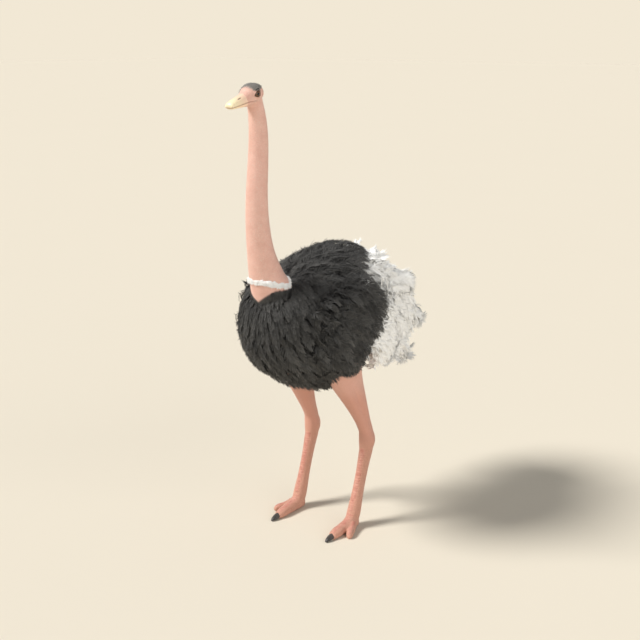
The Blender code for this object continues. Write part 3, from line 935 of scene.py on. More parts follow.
class Coat:
    """Locks and shafts gathered into one mesh, with their map and their tones."""

    def __init__(self, middle):
        self.middle, self.parts, self.start = middle, [], 0

    def add(self, points, faces, roots, spots, tones, alongs):
        """Shapes with the same faces, whose corners take these spots on their roots' patches."""
        count, size = points.shape[:2]
        faces = faces[None] + size * np.arange(count)[:, None, None] + self.start
        maps = unwrapped(roots, self.middle)[:, None] + spots[None] * PATCH
        points, faces, maps = points.reshape(-1, 3), faces.reshape(-1, 3), maps.reshape(-1, 2)
        self.parts.append((points, faces, maps, np.repeat(tones, size), alongs.ravel()))
        self.start += count * size

    def locks(self, roots, first, last, outs, lengths, widths, tones, alongs):
        """Thin three-sided locks that bend from their first way to their last."""
        roots, first, last, outs = (v.reshape(-1, 3) for v in (roots, first, last, outs))
        lengths, widths, alongs = (np.reshape(v, (-1, 1)) for v in (lengths, widths, alongs))
        middle = roots + lengths * (0.375 * first + 0.125 * last)
        flat = unit(np.cross(first, outs))
        flat_on = unit(np.cross(unit(first + last), outs))
        over, over_on = unit(np.cross(flat, first)), unit(np.cross(flat_on, first + last))
        points = [
            roots - flat * widths * 0.55,
            roots + flat * widths * 0.55,
            roots + over * widths * 0.20,
            middle - flat_on * widths,
            middle + flat_on * widths,
            middle + over_on * widths * 0.34,
            roots + lengths * (0.5 * first + 0.5 * last),
        ]
        reach = np.clip(alongs + 0.35 * LOCK_ALONG, 0, 1)
        reach = np.broadcast_to(reach, (len(roots), len(LOCK_ALONG)))
        self.add(np.stack(points, axis=1), LOCK_FACES, roots, LOCK_MAP, np.ravel(tones), reach)

    def shafts(self, shafts, outs, width, tones):
        """Three-sided quills that taper to their tips."""
        count, steps = shafts.shape[:2]
        flat = unit(np.cross(unit(np.gradient(shafts, axis=1)), outs))
        share = np.linspace(0, 1, steps)
        taper = np.linspace(1, 0.2, steps)[None, :, None] * width
        rings = [shafts - flat * taper, shafts + flat * taper, shafts + outs * taper]
        rings = np.stack(rings, axis=2).reshape(count, -1, 3)
        spots = np.column_stack([np.tile((0.0, 1.0, 0.5), steps), np.repeat(share, 3)])
        alongs = np.tile(np.repeat(share, 3), count)
        self.add(rings, tube_faces(steps)[:, ::-1], shafts[:, 0], spots, tones, alongs)

    def plumes(self, shafts, outs, half_width, pairs, lock, rng, look):
        """Plumes with soft locks along both sides of each shaft.

        Look holds the curl of the locks, how they hang, how loose they are, and how dark
        or light each plume is on average, which can hold painted light and painted shade.
        """
        curl, hang, loose, mean_tones_and_painted_shade = look
        count, steps = shafts.shape[:2]
        share = (np.arange(pairs) + 0.5) / pairs * 0.90 + 0.10
        share = np.clip(share + rng.normal(0, 0.25 / pairs, (count, pairs)), 0.05, 1.0)
        spot = share * (steps - 1)
        low = np.minimum(spot.astype(int), steps - 2)
        part = (spot - low)[..., None]
        which = np.arange(count)[:, None]

        def along(table):
            return table[which, low] * (1 - part) + table[which, low + 1] * part

        ways = unit(np.gradient(shafts, axis=1))
        base, way, out = along(shafts), unit(along(ways)), along(outs)
        out = lying(out, way)
        # each plume lies rolled a little to one side
        roll = rng.normal(0, 0.24 * loose, count)[:, None, None]
        out = unit(out * np.cos(roll) + np.cross(way, out) * np.sin(roll))
        across = np.cross(way, out)
        # each plume's tone wanders round a mean that can hold painted light and shade
        tones = mean_tones_and_painted_shade + rng.normal(0, 0.22, count)
        for hand in (1, -1):
            # locks stand out from the shaft near its root, and lie along it at its tip
            angle = np.radians(66 - 46 * share**1.3) + rng.normal(0, 0.09, share.shape)
            angle = angle[..., None]
            first = way * np.cos(angle) + across * hand * np.sin(angle)
            first += out * rng.normal(0.06, 0.07 * loose, share.shape)[..., None]
            bend = angle * 0.35
            last = way * np.cos(bend) + across * hand * np.sin(bend)
            last += out * rng.normal(curl, 0.17 * loose, share.shape)[..., None]
            last -= UP * hang * rng.uniform(0.4, 1.4, share.shape)[..., None]
            fullness = 0.50 + 0.50 * np.sin(math.pi * np.clip(share * 0.86 + 0.07, 0, 1))
            length = half_width[:, None] * fullness * rng.uniform(0.8, 1.25, share.shape)
            width = lock * rng.uniform(0.8, 1.2, share.shape)
            tone = tones[:, None] + rng.normal(0, 0.12, share.shape)
            self.locks(base, unit(first), unit(last), out, length, width, tone, share * 0.65)
        self.shafts(shafts[:, ::2], outs[:, ::2], lock * 0.5, tones)

    def piece(self, name, material, slot, *nodes):
        """The gathered mesh as a piece that rides on the bird."""
        points, faces, maps, tones, alongs = (np.concatenate(part) for part in zip(*self.parts))
        mesh = bpy.data.meshes.new(name)
        mesh.vertices.add(len(points))
        mesh.vertices.foreach_set("co", points.astype(np.float32).ravel())
        mesh.loops.add(faces.size)
        mesh.loops.foreach_set("vertex_index", faces.astype(np.int32).ravel())
        mesh.polygons.add(len(faces))
        mesh.polygons.foreach_set("loop_start", np.arange(0, faces.size, 3, dtype=np.int32))
        mesh.update(calc_edges=True)
        layer = mesh.uv_layers.new(name="OFBake")
        layer.uv.foreach_set("vector", maps[faces.ravel()].astype(np.float32).ravel())
        set_mask(mesh, "tone", tones)
        set_mask(mesh, "along", alongs)
        mesh.shade_flat()
        settle(new_object(name, mesh), material, slot, *nodes, smooth=False)


def white_line(up):
    """How far back the black plumes end and the white ones start, at heights."""
    return np.interp(up, *WHITE_LINE)


def above_thigh(points):
    """How far points are above the bare thigh, and far above where no thigh is."""
    high = points[:, 2] - np.interp(points[:, 1], *THIGH_LINE)
    beside = (np.abs(points[:, 0]) > 0.14) & (points[:, 1] < 0.06)
    return np.where(beside, high, 1.0)


def body_flow(spot):
    """Plumes spread from the base of the neck, then run back and down over the body."""
    arm = spot - NECK_BASE
    near = hump(np.linalg.norm(arm, axis=1), 0, 0.33)[:, None]
    side = np.clip(np.abs(spot[:, 0]) / 0.30, 0, 1)[:, None]
    spread = ACROSS * np.sign(spot[:, 0])[:, None] * 0.15
    lie = BACK - UP * (0.10 + 0.62 * side) + spread
    return unit(unit(arm) * near * 1.2 + unit(lie) * (1 - near))


def tail_flow(spot):
    """Tail plumes spread from the rump and droop the more the further they reach."""
    arm = spot - TAIL_ROOT
    far = np.clip(spot[:, 1:2] - 0.25, 0, 1)
    return unit(unit(arm) * 1.3 - UP * (0.15 + 2.2 * far))


# ---------- pieces of the head
def make_eyeball(hand, label):
    """An eyeball whose rings run round its line of sight, its clear front bulging a little."""
    centre = eye_at(hand)
    sight = unit(head_point(0.10, hand, 0.02) - head_point(0, 0, 0))
    beside = unit(np.cross(unit(HEAD_UPWARD), sight))
    upward = np.cross(sight, beside)
    angles = np.concatenate([np.linspace(0.004, 0.9, 44), np.linspace(0.93, 3.10, 34)])
    rings = []
    for a in angles:
        # the clear front bulges
        reach = EYE_RADIUS + 0.0007 * ramp(-a, -0.72, -0.35)
        middle, size = centre + sight * reach * math.cos(a), (reach * math.sin(a),) * 3
        rings.append(ring(middle, beside, upward, *size, 64))
    mesh = plain_mesh("eyeball_" + label, *loft(rings))
    arm = unit(coordinates(mesh) - centre)
    set_mask(mesh, "off_sight", np.arccos(np.clip(arm @ sight, -1, 1)))
    set_mask(mesh, "spoke", np.arctan2(arm @ beside, arm @ upward))
    settle(new_object("eyeball_" + label, mesh), "eyeball", "eye", "eye_" + label)


def spikes(bases, ways, bends, lengths, width, steps):
    """Curved three-sided bristles as points and triangles."""
    lengths = lengths[:, None, None]
    s = np.linspace(0, 1, steps)[None, :, None]
    spine = bases[:, None] + lengths * (ways[:, None] * (s - s * s / 2))
    spine = spine + lengths * bends[:, None] * (s * s / 2)
    way = unit(ways[:, None] * (1 - s) + bends[:, None] * s)
    side = unit(np.cross(way, UP + 0.01))
    over = np.cross(side, way)
    size = width * np.maximum(1 - s**1.5, 0.06)
    corners = [
        spine + size * (side * math.cos(t) + over * math.sin(t))
        for t in (TAU / 4, TAU / 4 + TAU / 3, TAU / 4 + 2 * TAU / 3)
    ]
    starts = 3 * steps * np.arange(len(bases))[:, None, None]
    faces = (tube_faces(steps)[None] + starts).reshape(-1, 3)
    return np.stack(corners, axis=2).reshape(-1, 3), [tuple(face) for face in faces.tolist()]


def lid_edge(hand, turns, above, reach=0.0016):
    """Places along the edge of the upper or lower lid, and the way out from the eyeball."""
    sign, half = (1, LID_ABOVE) if above else (-1, LID_BELOW)
    height = sign * half * np.maximum(1 - np.abs(turns) ** 2.2, 0) ** (1 / 1.8)
    run, rise = turned(np.tan(LID_LENGTH * turns), np.tan(height), -LID_TILT)
    arm = unit(np.column_stack([run, np.full_like(run, hand), rise])) * (EYE_RADIUS + reach)
    ahead, side, up = EYE_CENTRE
    spots = head_point(ahead + arm[:, 0], hand * side + arm[:, 1], up + arm[:, 2])
    return spots, unit(spots - eye_at(hand))


def make_lashes(hand, label):
    """Upper and lower lashes, and the dark bristles of the brow."""
    rng = np.random.default_rng(31)
    upward, onward = unit(HEAD_UPWARD), unit(HEAD_ONWARD)
    shapes = []
    for above, count, length in ((True, 34, 0.0110), (False, 18, 0.0050)):
        turns = np.linspace(-0.93, 0.93, count) + rng.normal(0, 0.01, count)
        spots, out = lid_edge(hand, turns, above)
        lean = -onward * (0.10 - 0.55 * turns)[:, None]
        ways = unit(out + upward * (0.35 if above else -0.5) + lean)
        bends = unit(out * 0.9 + upward * (1.5 if above else -1.0) + 1.3 * lean)
        lengths = length * rng.uniform(0.8, 1.15, count) * (1 - 0.35 * turns**2)
        shapes.append(spikes(spots, ways, bends, lengths, 0.00036, 5))
    count = 90
    turns = rng.uniform(-0.62, 0.55, count)
    spots, out = lid_edge(hand, turns, True)
    rise = rng.uniform(0.0085, 0.0120, count)[:, None]
    spots = spots + upward * rise - out * (0.0015 + 0.22 * rise)
    ways = unit(out * 0.7 - onward * 0.8 + upward * 0.5)
    bends = unit(out * 0.15 - onward + upward * 0.1)
    lengths = rng.uniform(0.006, 0.009, count)
    shapes.append(spikes(spots, ways, bends, lengths, 0.00045, 4))
    mesh = plain_mesh("lashes_" + label, *joined(shapes))
    settle(new_object("lashes_" + label, mesh), "lash", "claw")


def bill_half(upper, rows=44, sides=44):
    """One half of the bill with its ridge, nail and tip, and how deep in a nostril it is, as a mask
    for painted shade.
    """
    outline = np.column_stack([BILL_TOP_LINE, BILL_GAPE_LINE, BILL_CHIN_LINE, BILL_SIDE])
    table = through(outline, rows)
    share = np.sin(np.linspace(0, math.pi / 2, rows))
    reach = BILL_LENGTH if upper else BILL_LENGTH - CHIN_SHORTER
    turn = np.linspace(0, math.pi, sides)
    rings, slits = [], []
    for part, (top, gape, chin, side) in zip(share, table):
        ahead = BILL_BASE - 0.0025 + 0.0025 * part + part * reach
        crest = top if upper else chin
        width = side if upper else side * 0.93
        base = gape + 0.0002 if upper else gape - 0.0004
        c = np.sign(np.cos(turn)) * np.abs(np.cos(turn)) ** 0.75
        height = base + (crest - base) * np.sin(turn) ** 0.9
        height[0] = height[-1] = base
        # the horn's own relief, measured along and round it
        tilt = np.abs(c)
        swell, nostril_shade = np.zeros(sides), np.zeros(sides)
        if upper:
            swell += 0.0012 * hump(c, 0, 0.34) * (1 - ramp(part, 0.62, 0.80))
            nostril = np.hypot((part - 0.40) / 0.150, (tilt - 0.62) / 0.085)
            # the inside of the nostril is painted dark, as painted shade
            nostril_shade = ramp(-nostril, -0.85, -0.40)
            swell -= 0.0030 * ramp(-nostril, -1.05, -0.45)
            swell += 0.0007 * hump(nostril, 1.35, 0.28)
            swell -= 0.0011 * hump(tilt, 0.66, 0.20) * (1 - ramp(part, 0.55, 0.72))
        swell -= 0.0010 * hump(part, 0.02, 0.03)
        swell -= 0.0009 * hump(part, 0.745 + 0.10 * tilt**2, 0.014)
        swell += 0.0007 * ramp(part, 0.80, 0.88) + 0.0005 * hump(np.sin(turn), 0, 0.16)
        across = width * c * (1 + swell / max(width, 0.006))
        lifted = base + (height - base) * (1 + swell / max(abs(crest - base), 0.006))
        rings.append(head_point(ahead, across, lifted))
        slits.append(nostril_shade)
    return *loft(rings), np.concatenate(slits)


def make_bill():
    for side in ("upper", "lower"):
        points, faces, slits = bill_half(side == "upper")
        mesh = plain_mesh("horn_" + side, points, faces)
        ahead, _, up = in_head(coordinates(mesh)).T
        set_mask(mesh, "to_tip", np.clip((ahead - BILL_BASE) / BILL_LENGTH, 0, 1))
        # a dark band along the closing line, painted shade between the two halves
        set_mask(mesh, "gape_shade", hump(up, -0.016, 0.0028))
        set_mask(mesh, "nostril_shade", slits)
        settle(new_object("horn_" + side, mesh), "bill_horn", "bill", "bill_" + side)


# ---------- pieces of the feet
def make_claw(hand, label):
    """A claw with a blunt ridge along its top, and growth rings near its root."""
    heel, _, _ = foot_frame(hand)
    points, faces = loft(toe_rings(CLAW, heel, 0, 40, 36, CLAW_CLEARANCE, 2.0))
    height = points[:, 2] - CLAW_CLEARANCE
    ahead, side = heel[1] - points[:, 1], points[:, 0] - heel[0]
    ripple = np.sin(ahead * TAU / 0.0042)
    points[:, 2] += 0.0010 * hump(side, 0, 0.005) * ramp(height, 0.010, 0.02)
    points[:, 0] += 0.0002 * np.sign(side) * ripple
    points[:, 2] += 0.00015 * ripple * ramp(height, 0.008, 0.014)
    mesh = plain_mesh("nail_" + label, points, faces)
    set_mask(mesh, "to_tip", ramp(ahead, 0.165, 0.240))
    settle(new_object("nail_" + label, mesh), "claw_horn", "claw", "claw_" + label)


def scute(centre, along, across, out, length, width, curve, thick):
    """One horny plate, bowed across the limb, its lower edge free of the next plate."""
    rows, columns = 5, 9
    v = np.linspace(-1, 1, rows)[:, None]
    u = np.linspace(-1, 1, columns)[None, :]
    trim = 1 - 0.12 * np.abs(v) ** 3
    angle = u * curve * trim
    reach = width / max(math.sin(curve), 1e-3)
    flat = reach * np.sin(angle)
    sink = reach * (1 - np.cos(angle))
    crown = thick * (1 - 0.85 * u**4) * (1 - 0.55 * v**4)
    step = 0.0009 * v  # the plate rises towards its lower edge
    run = length * v * (1 - 0.10 * u**2)

    def sheet(height):
        level = centre + along * run[..., None] + across * flat[..., None]
        return (level + out * (height - sink)[..., None]).reshape(-1, 3)

    points = np.concatenate([sheet(crown + step), sheet(np.full_like(crown, -0.0040))])
    faces = []
    size = rows * columns
    for i in range(rows - 1):
        for a in range(i * columns, (i + 1) * columns - 1):
            quad = (a, a + 1, a + columns + 1, a + columns)
            faces += [quad, tuple(size + k for k in quad[::-1])]
    grid = np.arange(size).reshape(rows, columns)
    edge = np.concatenate([grid[0], grid[1:, -1], grid[-1, -2::-1], grid[-2:0:-1, 0]]).tolist()
    faces += [(two, one, one + size, two + size) for one, two in zip(edge, edge[1:] + edge[:1])]
    return points, faces


def make_scutes(hand, label, tree):
    """Plates down the front of the shank, and over the top of both toes."""
    shapes = []
    table = through(LEG, 400)
    spine = leg_spine(hand, table)
    ways = unit(np.gradient(spine, axis=0))
    for up in np.linspace(*SHANK_PLATES):
        k = int(np.argmin(np.abs(table[:, 1] - up)))
        front = ahead_of(ways[k])
        hit = cast(tree, spine[k] + front * 0.12, -front, 0.2)
        if hit is None:
            continue
        length = 0.0085 * (1.0 if up > 0.15 else 0.85)
        width = 0.0195 if up < 0.38 else 0.0215
        spot = hit[0] - front * 0.0004
        shapes.append(scute(spot, ways[k], ACROSS, front, length, width, 0.80, 0.0016))
    heel, root, splay = foot_frame(hand)
    for base, heading, stations, first, last, number in (
        (heel, 0.0, INNER_TOE, 0.030, 0.178, 15),
        (root, splay, OUTER_TOE, 0.040, 0.126, 10),
    ):
        ahead, across = headed(heading)
        rows = through(stations, 200)
        for distance in np.linspace(first, last, number):
            hit = cast(tree, base + ahead * distance + UP * 0.3, -UP, 0.4)
            if hit is None:
                continue
            out = lying(hit[1], across)
            spot = hit[0] - out * 0.0003
            along = -unit(np.cross(across, out))
            length = (last - first) / number * 0.56
            width = 0.78 * np.interp(distance, rows[:, 0], rows[:, 2])
            shapes.append(scute(spot, along, across, out, length, width, 0.95, 0.0015))
    mesh = plain_mesh("scutes_" + label, *joined(shapes))
    settle(new_object("scutes_" + label, mesh), "scute_horn", "skin")


# ---------- materials
def socket_kind(is_colour):
    return "NodeSocketColor" if is_colour else "NodeSocketFloat"


def new_group(name, inputs, *outputs):
    """An empty shader node group: its tree, what it is given, and its results."""
    tree = bpy.data.node_groups.new(name, "ShaderNodeTree")
    for label, default in inputs.items():
        kind = socket_kind(isinstance(default, tuple))
        socket = tree.interface.new_socket(label, in_out="INPUT", socket_type=kind)
        socket.default_value = default
    for label in outputs:
        kind = socket_kind(label == "Color")
        tree.interface.new_socket(label, in_out="OUTPUT", socket_type=kind)
    given = tree.nodes.new("NodeGroupInput").outputs
    return tree, given, tree.nodes.new("NodeGroupOutput").inputs


def feed(tree, socket, value):
    """Joins a socket to another node's, or sets its value."""
    if isinstance(value, bpy.types.NodeSocket):
        tree.links.new(value, socket)
    else:
        socket.default_value = value


def add_node(tree, kind, settings=None, **sockets):
    """A node with its settings made and its sockets fed, by name or by n and a number."""
    node = tree.nodes.new(kind)
    for key, value in (settings or {}).items():
        setattr(node, key, value)
    for key, value in sockets.items():
        label = int(key[1:]) if key[1:].isdigit() else key.replace("_", " ")
        feed(tree, node.inputs[label], value)
    return node


def mixed(tree, factor, one, two, blend="MIX"):
    """The colour between two colours, or two colours blended in a named way."""
    settings = {"data_type": "RGBA", "blend_type": blend}
    return add_node(tree, "ShaderNodeMix", settings, n0=factor, n6=one, n7=two).outputs[2]


def maths(tree, operation, *values):
    node = add_node(tree, "ShaderNodeMath", {"operation": operation})
    for socket, value in zip(node.inputs, values):
        feed(tree, socket, value)
    return node.outputs[0]


def mapped(tree, value, smooth=False, **ends):
    """A value taken from one range to another, and held inside it."""
    settings = {"interpolation_type": "SMOOTHSTEP" if smooth else "LINEAR"}
    return add_node(tree, "ShaderNodeMapRange", settings, Value=value, **ends).outputs[0]


def tinted(tree, colour, over, mask, share):
    """A colour with another laid over it, by a share of a mask."""
    factor = mask if share == 1 else maths(tree, "MULTIPLY", mask, share)
    return mixed(tree, factor, colour, rgba(over))


def object_place(tree):
    return tree.nodes.new("ShaderNodeTexCoord").outputs["Object"]


def mottle_group():
    """Soft patches: a mask that wanders between 0 and 1 over the surface."""
    tree, given, result = new_group("Mottle", {"Scale": 20.0, "Contrast": 0.5}, "Mask")
    sockets = {"Vector": object_place(tree), "Scale": given["Scale"], "Detail": 5.0}
    noise = add_node(tree, "ShaderNodeTexNoise", **sockets)
    centred = maths(tree, "SUBTRACT", noise.outputs[0], 0.5)
    spread = maths(tree, "MULTIPLY", given["Contrast"], 4.0)
    wide = maths(tree, "MULTIPLY_ADD", centred, spread, 0.5)
    clamp = add_node(tree, "ShaderNodeClamp", n0=wide)
    feed(tree, result["Mask"], clamp.outputs[0])


def pores_group():
    """Raised grains with fine cracks between them, as on reticulate skin."""
    inputs = {"Scale": 300.0, "Stretch": 1.0, "Warp": 0.15}
    tree, given, result = new_group("Pores", inputs, "Height", "Crack")
    scale = add_node(tree, "ShaderNodeCombineXYZ", X=1.0, Y=1.0, Z=given["Stretch"]).outputs[0]

    def vectors(operation, **sockets):
        return add_node(tree, "ShaderNodeVectorMath", {"operation": operation}, **sockets).outputs[0]

    spread = vectors("MULTIPLY", n0=object_place(tree), n1=scale)
    noise = add_node(tree, "ShaderNodeTexNoise", Vector=spread, Scale=60.0, Detail=2.0)
    warp = maths(tree, "MULTIPLY", given["Warp"], 0.02)
    moved = vectors("ADD", n0=spread, n1=vectors("SCALE", n0=noise.outputs[1], Scale=warp))
    edges = {"feature": "DISTANCE_TO_EDGE"}
    cells = add_node(tree, "ShaderNodeTexVoronoi", edges, Vector=moved, Scale=given["Scale"])
    dome = mapped(tree, cells.outputs[0], smooth=True, From_Max=0.22)
    feed(tree, result["Height"], dome)
    feed(tree, result["Crack"], maths(tree, "SUBTRACT", 1.0, dome))


def tone_group():
    """The colour of a plume: darker at its root, its own tone, which can hold painted light and
    shade, lighter at its tip.
    """
    inputs = {
        "Root": (0.01, 0.01, 0.01, 1),
        "Middle": (0.03, 0.03, 0.03, 1),
        "Tip": (0.06, 0.06, 0.06, 1),
        "Tone": 0.5,
        "Along": 0.5,
        "Spread": 0.3,
    }
    tree, given, result = new_group("Plume Tone", inputs, "Color")
    low = mapped(tree, given["Along"], From_Min=0.05, From_Max=0.45)
    high = mapped(tree, given["Along"], From_Min=0.55, From_Max=1.0)
    plume = mixed(tree, low, given["Root"], given["Middle"])
    plume = mixed(tree, high, plume, given["Tip"])
    dark = maths(tree, "SUBTRACT", 1.0, given["Spread"])
    light = maths(tree, "ADD", 1.0, given["Spread"])
    shift = mapped(tree, given["Tone"], To_Min=dark, To_Max=light)
    grey = add_node(tree, "ShaderNodeCombineColor", n0=shift, n1=shift, n2=shift).outputs[0]
    feed(tree, result["Color"], mixed(tree, 1.0, plume, grey, "MULTIPLY"))


def lines_group():
    """Fine lines that run one way, for horn: a height, and a mask of the dark lines."""
    inputs = {"Scale": 120.0, "Bend": 3.0}
    tree, given, result = new_group("Horn Lines", inputs, "Height", "Line")
    settings = {"bands_direction": "Y", "wave_profile": "SIN"}
    sockets = {"Vector": object_place(tree), "Scale": given["Scale"], "Distortion": given["Bend"]}
    sockets |= {"Detail": 3.0, "Detail_Scale": 2.0}
    wave = add_node(tree, "ShaderNodeTexWave", settings, **sockets).outputs["Fac"]
    feed(tree, result["Height"], wave)
    feed(tree, result["Line"], maths(tree, "POWER", wave, 4.0))


def placed(tree, name, **sockets):
    """The results of a shared group, placed in a material with its own values."""
    group = {"node_tree": bpy.data.node_groups[name]}
    return add_node(tree, "ShaderNodeGroup", group, **sockets).outputs


def mottled(tree, scale, contrast):
    return placed(tree, "Mottle", Scale=scale, Contrast=contrast)["Mask"]


def mask_of(tree, name):
    return add_node(tree, "ShaderNodeAttribute", {"attribute_name": name}).outputs["Fac"]


def new_material(name, **sockets):
    """The nodes of a new material, with its shader's fixed numbers set."""
    made = bpy.data.materials.new(name)
    made.use_nodes = True
    shader = made.node_tree.nodes["Principled BSDF"]
    for key, value in sockets.items():
        shader.inputs[key.replace("_", " ")].default_value = value
    return made.node_tree


def finish(tree, colour, roughness=None, height=None, distance=0.0, strength=0.0):
    """Joins a colour, a roughness and a bump of this height to the shader."""
    shader = tree.nodes["Principled BSDF"]
    tree.links.new(colour, shader.inputs["Base Color"])
    if roughness is not None:
        tree.links.new(roughness, shader.inputs["Roughness"])
    if height is not None:
        sizes = {"Distance": distance, "Strength": strength}
        bump = add_node(tree, "ShaderNodeBump", Height=height, **sizes)
        tree.links.new(bump.outputs[0], shader.inputs["Normal"])


def rgba(colour):
    return (*colour, 1.0)


def skin_material(hue):
    sheen = {"Sheen_Weight": 0.08, "Sheen_Roughness": 0.5}
    tree = new_material("bare_skin", Specular_IOR_Level=0.35, **sheen)
    patches = mottled(tree, 22.0, 0.65)
    grain = placed(tree, "Pores", Scale=420.0, Stretch=0.8, Warp=0.4)
    scales = placed(tree, "Pores", Scale=150.0, Stretch=0.75, Warp=0.6)
    folds = placed(tree, "Pores", Scale=95.0, Stretch=2.6, Warp=1.2)
    foot = mask_of(tree, "foot")
    bare = maths(tree, "SUBTRACT", 1.0, foot)
    colour = mixed(tree, patches, rgba(hue.skin_dark), rgba(hue.skin))
    for over, mask, share in (
        (hue.skin_flush, mottled(tree, 7.0, 0.6), 0.30),
        (hue.leg, mask_of(tree, "leg"), 1),
        (hue.foot, foot, 0.85),
        (hue.skin_lines_and_painted_shade, maths(tree, "MULTIPLY", scales["Crack"], foot), 0.35),
        (hue.skin_lines_and_painted_shade, maths(tree, "MULTIPLY", folds["Crack"], bare), 0.16),
        (hue.crown, mask_of(tree, "crown"), 0.9),
        # painted shade in the groove of the mouth and in the pit of the ear
        (hue.skin_lines_and_painted_shade, mask_of(tree, "crease"), 1),
        (hue.lid_rim, mask_of(tree, "lid_rim"), 0.8),
    ):
        colour = tinted(tree, colour, over, mask, share)
    under = mixed(tree, mask_of(tree, "white"), rgba(hue.black), rgba(hue.white))
    colour = mixed(tree, mask_of(tree, "feathered"), colour, under)
    shine = mapped(tree, patches, To_Min=0.50, To_Max=0.64)
    relief = maths(tree, "MULTIPLY", scales["Height"], foot)
    soft = maths(tree, "MULTIPLY", folds["Height"], bare)
    relief = maths(tree, "MULTIPLY_ADD", soft, 0.55, relief)
    relief = maths(tree, "MULTIPLY_ADD", grain["Height"], 0.22, relief)
    finish(tree, colour, shine, relief, 0.0012, 0.8)


def plume_material(name, root, middle, tip, spread, sheen, roughness):
    fixed = {"Sheen_Roughness": 0.35, "Specular_IOR_Level": 0.25}
    tree = new_material(name, Sheen_Weight=sheen, Roughness=roughness, **fixed)
    colours = {"Root": rgba(root), "Middle": rgba(middle), "Tip": rgba(tip)}
    masks = {"Tone": mask_of(tree, "tone"), "Along": mask_of(tree, "along")}
    tone = placed(tree, "Plume Tone", Spread=spread, **colours, **masks)[0]
    faded = tinted(tree, tone, tip, mottled(tree, 9.0, 0.6), 0.22)
    finish(tree, faded, None, mottled(tree, 900.0, 0.8), 0.0006, 0.5)


def bill_material(hue):
    coat = {"Coat_Weight": 0.25, "Coat_Roughness": 0.25, "Coat_IOR": 1.5}
    tree = new_material("bill_horn", Specular_IOR_Level=0.45, **coat)
    lines = placed(tree, "Horn Lines", Scale=55.0, Bend=5.0)
    patches = mottled(tree, 60.0, 0.6)
    reach = mapped(tree, mask_of(tree, "to_tip"), From_Min=0.15, From_Max=0.75)
    colour = mixed(tree, reach, rgba(hue.bill_base), rgba(hue.bill_tip))
    for over, mask, share in (
        (hue.bill_stain, patches, 0.35),
        (hue.bill_stain, lines["Line"], 0.14),
        # painted shade along the closing line of the bill
        (hue.gape, mask_of(tree, "gape_shade"), 0.75),
        # painted shade inside the nostrils
        (hue.nostril_shade, mask_of(tree, "nostril_shade"), 1),
    ):
        colour = tinted(tree, colour, over, mask, share)
    shine = mapped(tree, patches, To_Min=0.30, To_Max=0.46)
    finish(tree, colour, shine, lines["Height"], 0.0003, 0.5)


def claw_material(hue):
    tree = new_material("claw_horn", Specular_IOR_Level=0.5)
    lines = placed(tree, "Horn Lines", Scale=80.0, Bend=4.0)
    colour = mixed(tree, mask_of(tree, "to_tip"), rgba(hue.claw), rgba(hue.claw_tip))
    colour = tinted(tree, colour, hue.claw_tip, lines["Line"], 0.3)
    shine = mapped(tree, mottled(tree, 70.0, 0.7), To_Min=0.32, To_Max=0.52)
    finish(tree, colour, shine, lines["Height"], 0.0004, 0.6)


def scute_material(hue):
    sheen = {"Sheen_Weight": 0.05, "Sheen_Roughness": 0.4}
    tree = new_material("scute_horn", Specular_IOR_Level=0.4, **sheen)
    patches = mottled(tree, 45.0, 0.7)
    fine = placed(tree, "Pores", Scale=520.0, Stretch=0.6, Warp=0.8)
    colour = mixed(tree, patches, rgba(hue.scute), rgba(hue.scute_pale))
    colour = tinted(tree, colour, hue.scute_edge, fine["Crack"], 0.25)
    shine = mapped(tree, patches, To_Min=0.40, To_Max=0.55)
    finish(tree, colour, shine, fine["Height"], 0.0004, 0.5)


def eye_material(hue):
    coat = {"Coat_Weight": 1.0, "Coat_Roughness": 0.02, "Coat_IOR": 1.38}
    tree = new_material("eyeball", Specular_IOR_Level=0.1, **coat)
    off, spoke = mask_of(tree, "off_sight"), mask_of(tree, "spoke")
    places = {"X": maths(tree, "MULTIPLY", spoke, 3.0), "Y": maths(tree, "MULTIPLY", off, 1.4)}
    streaks = add_node(tree, "ShaderNodeCombineXYZ", **places).outputs[0]
    noise = add_node(tree, "ShaderNodeTexNoise", Vector=streaks, Scale=9.0, Detail=4.0)
    iris = mixed(tree, noise.outputs[0], rgba(hue.iris_dark), rgba(hue.iris))

    def step(low, high):
        return mapped(tree, off, smooth=True, From_Min=low, From_Max=high)

    iris = tinted(tree, iris, hue.pupil, step(0.48, 0.62), 0.85)
    colour = mixed(tree, step(0.285, 0.315), rgba(hue.pupil), iris)
    colour = tinted(tree, colour, hue.eye_white, step(0.66, 0.74), 1)
    finish(tree, colour, mapped(tree, off, From_Max=1.2, To_Min=0.06, To_Max=0.22))


def bristle_material(name, root, tip):
    tree = new_material(name, Roughness=0.55, Specular_IOR_Level=0.35)
    patches = mottled(tree, 160.0, 0.8)
    finish(tree, mixed(tree, patches, rgba(root), rgba(tip)), None, patches, 0.0002, 0.3)


# ---------- pieces of plumage
def off_neck(points):
    """How far points are from the neck's middle line, as a share of its radius there."""
    line = np.array([place(0, forward, up) for forward, up, _ in NECK_TABLE])
    apart = np.linalg.norm(points[:, None] - line[None], axis=2)
    k = apart.argmin(1)
    return apart[np.arange(len(points)), k] / NECK_TABLE[k, 2]


def round_neck(turn):
    """The way out from the neck's middle line, at a turn from the throat."""
    return ACROSS * math.sin(turn) - BACK * math.cos(turn)


def down_neck(spot):
    forward = np.interp(spot[:, 2], (1.2, 1.5), (0.45, 0.75))
    return unit(-UP + BACK * (1 - forward)[:, None])


